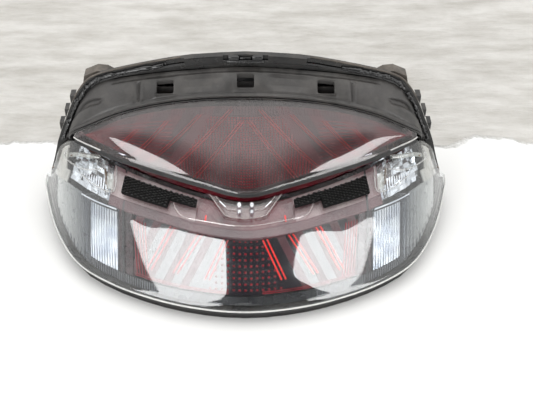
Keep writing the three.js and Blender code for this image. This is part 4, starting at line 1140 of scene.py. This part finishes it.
def add_stage():
    """A pale ground, with a brushed plaster backdrop painted on behind the lamp."""
    g = Graph("pale_floor")
    depth = g.node("SeparateXYZ", Vector=g.place).outputs[1]
    ground = g.blend(g.spread(g.noise(2.5, 6.0), 0.3, 0.7), rgb(224, 224, 223), rgb(231, 231, 230))
    strokes = g.noise(1.0, 9.0, 0.68, g.stretched(12.0, 40.0, 1.0))
    plaster = g.blend(g.spread(strokes, 0.36, 0.62), rgb(176, 173, 167), rgb(205, 203, 199))
    edge = g.math("ADD", depth, g.math("MULTIPLY", g.noise(14.0, 7.0, 0.65), 0.06))
    behind = g.spread(edge, WALL_Y + 0.030, WALL_Y + 0.036)
    height = g.math("MULTIPLY", strokes, behind)
    shader = g.node("BsdfPrincipled", Base_Color=g.blend(behind, ground, plaster), Roughness=0.7,
                    Normal=g.bump(height, 0.7, 10.0))
    corners = [(a * FLOOR_HALF, b * FLOOR_HALF, FLOOR_Z) for a, b in ((-1, -1), (1, -1), (1, 1), (-1, 1))]
    stage_piece("floor", corners, g.finish(shader.outputs[0]))


# Outlines of the two soft panels in front of the lamp, as X and Z in metres.
PANEL_Y = -2.1
PANELS = {
    "panel_left": [(-0.40, 0.10), (-0.58, 0.60), (-0.90, 1.38), (-1.7, 1.55), (-2.75, 1.80),
                   (-2.35, 1.30), (-1.95, 0.62), (-1.60, 0.30), (-0.95, 0.14)],
    "panel_right": [(1.02, 0.55), (1.30, 0.95), (1.95, 1.55), (3.0, 1.70), (4.2, 1.70),
                    (2.90, 0.95), (2.40, 0.42), (1.95, 0.30), (1.40, 0.40)],
}
PANEL_GLOW = 7.5
SIDE_GLOW = 1.25                    # brightness of the room at the lamp's sides and behind it
TOP_GLOW = 1.9
FRONT_SHARE = 0.04                  # the dark part of the room between the panels
DARK_ELEVATION = math.radians(20.0)


def add_panel(name, outline):
    """A soft panel light, as a glowing board with cut corners that the camera doesn't see."""
    g = Graph(name)
    points = [Vector((x, PANEL_Y, z)) for x, z in outline]
    for _ in range(2):
        points = [here.lerp(after, share) for here, after in zip(points, points[1:] + points[:1])
                  for share in (0.2, 0.8)]
    glow = g.node("Emission", Color=(1, 1, 1, 1), Strength=PANEL_GLOW)
    made = stage_piece(name, points, g.finish(glow.outputs[0]))
    made.visible_camera = False
    made.visible_shadow = False


def add_light():
    for name, outline in PANELS.items():
        add_panel(name, outline)
    g = Graph("studio", bpy.data.worlds)
    direction = g.where["Generated"]
    dark_towards = (0, -math.cos(DARK_ELEVATION), math.sin(DARK_ELEVATION))
    facing = g.fed("VectorMath", {"operation": "DOT_PRODUCT"}, {0: direction, 1: dark_towards}, "Value")
    upward = g.node("SeparateXYZ", Vector=direction).outputs[2]
    room = g.spread(upward, 0.6, 0.85, SIDE_GLOW, TOP_GLOW, "SMOOTHSTEP")
    outside, inside = math.cos(math.radians(52)), math.cos(math.radians(32))
    front = g.spread(facing, outside, inside, 1.0, FRONT_SHARE, "SMOOTHSTEP")
    background = g.node("Background", Color=(1.0, 0.995, 0.985, 1), Strength=g.math("MULTIPLY", room, front))
    bpy.context.scene.world = g.finish(background.outputs[0], "OutputWorld")


def add_camera():
    elevation = math.radians(42.0)
    distance = 0.62
    target = Vector((0, (73.0 + SHIFT_Y) * MM, 0.054))
    back = Vector((0, -math.cos(elevation), math.sin(elevation)))
    lens = bpy.data.cameras.new("camera")
    lens.lens = 60.0
    lens.sensor_width = 36.0
    lens.shift_x = 0.0394
    lens.shift_y = -0.01876
    lens.clip_start = 0.01
    camera = bpy.data.objects.new("camera", lens)
    camera.location = target + back * distance
    camera.rotation_euler = (-back).to_track_quat("-Z", "Y").to_euler()
    bpy.context.scene.collection.objects.link(camera)
    bpy.context.scene.camera = camera


def set_scene():
    scene = bpy.context.scene
    scene.view_settings.view_transform = "Standard"
    scene.view_settings.exposure = 0.0
    scene.cycles.transparent_max_bounces = 32
    scene.cycles.max_bounces = 10
    scene.cycles.glossy_bounces = 5


add_camera()
add_lower_lens()
add_upper_lens()
add_gasket()
add_lower_inner()
add_upper_inner()
add_flutes()
add_apron()
add_ledge_floor()
add_step_line()
add_pads()
add_bracket()
add_pods()
add_shroud()
add_flange_trim()
add_pan_strip()
add_bulb_units()
add_back_fittings()
dress_cad()
add_stage()
add_light()
set_scene()
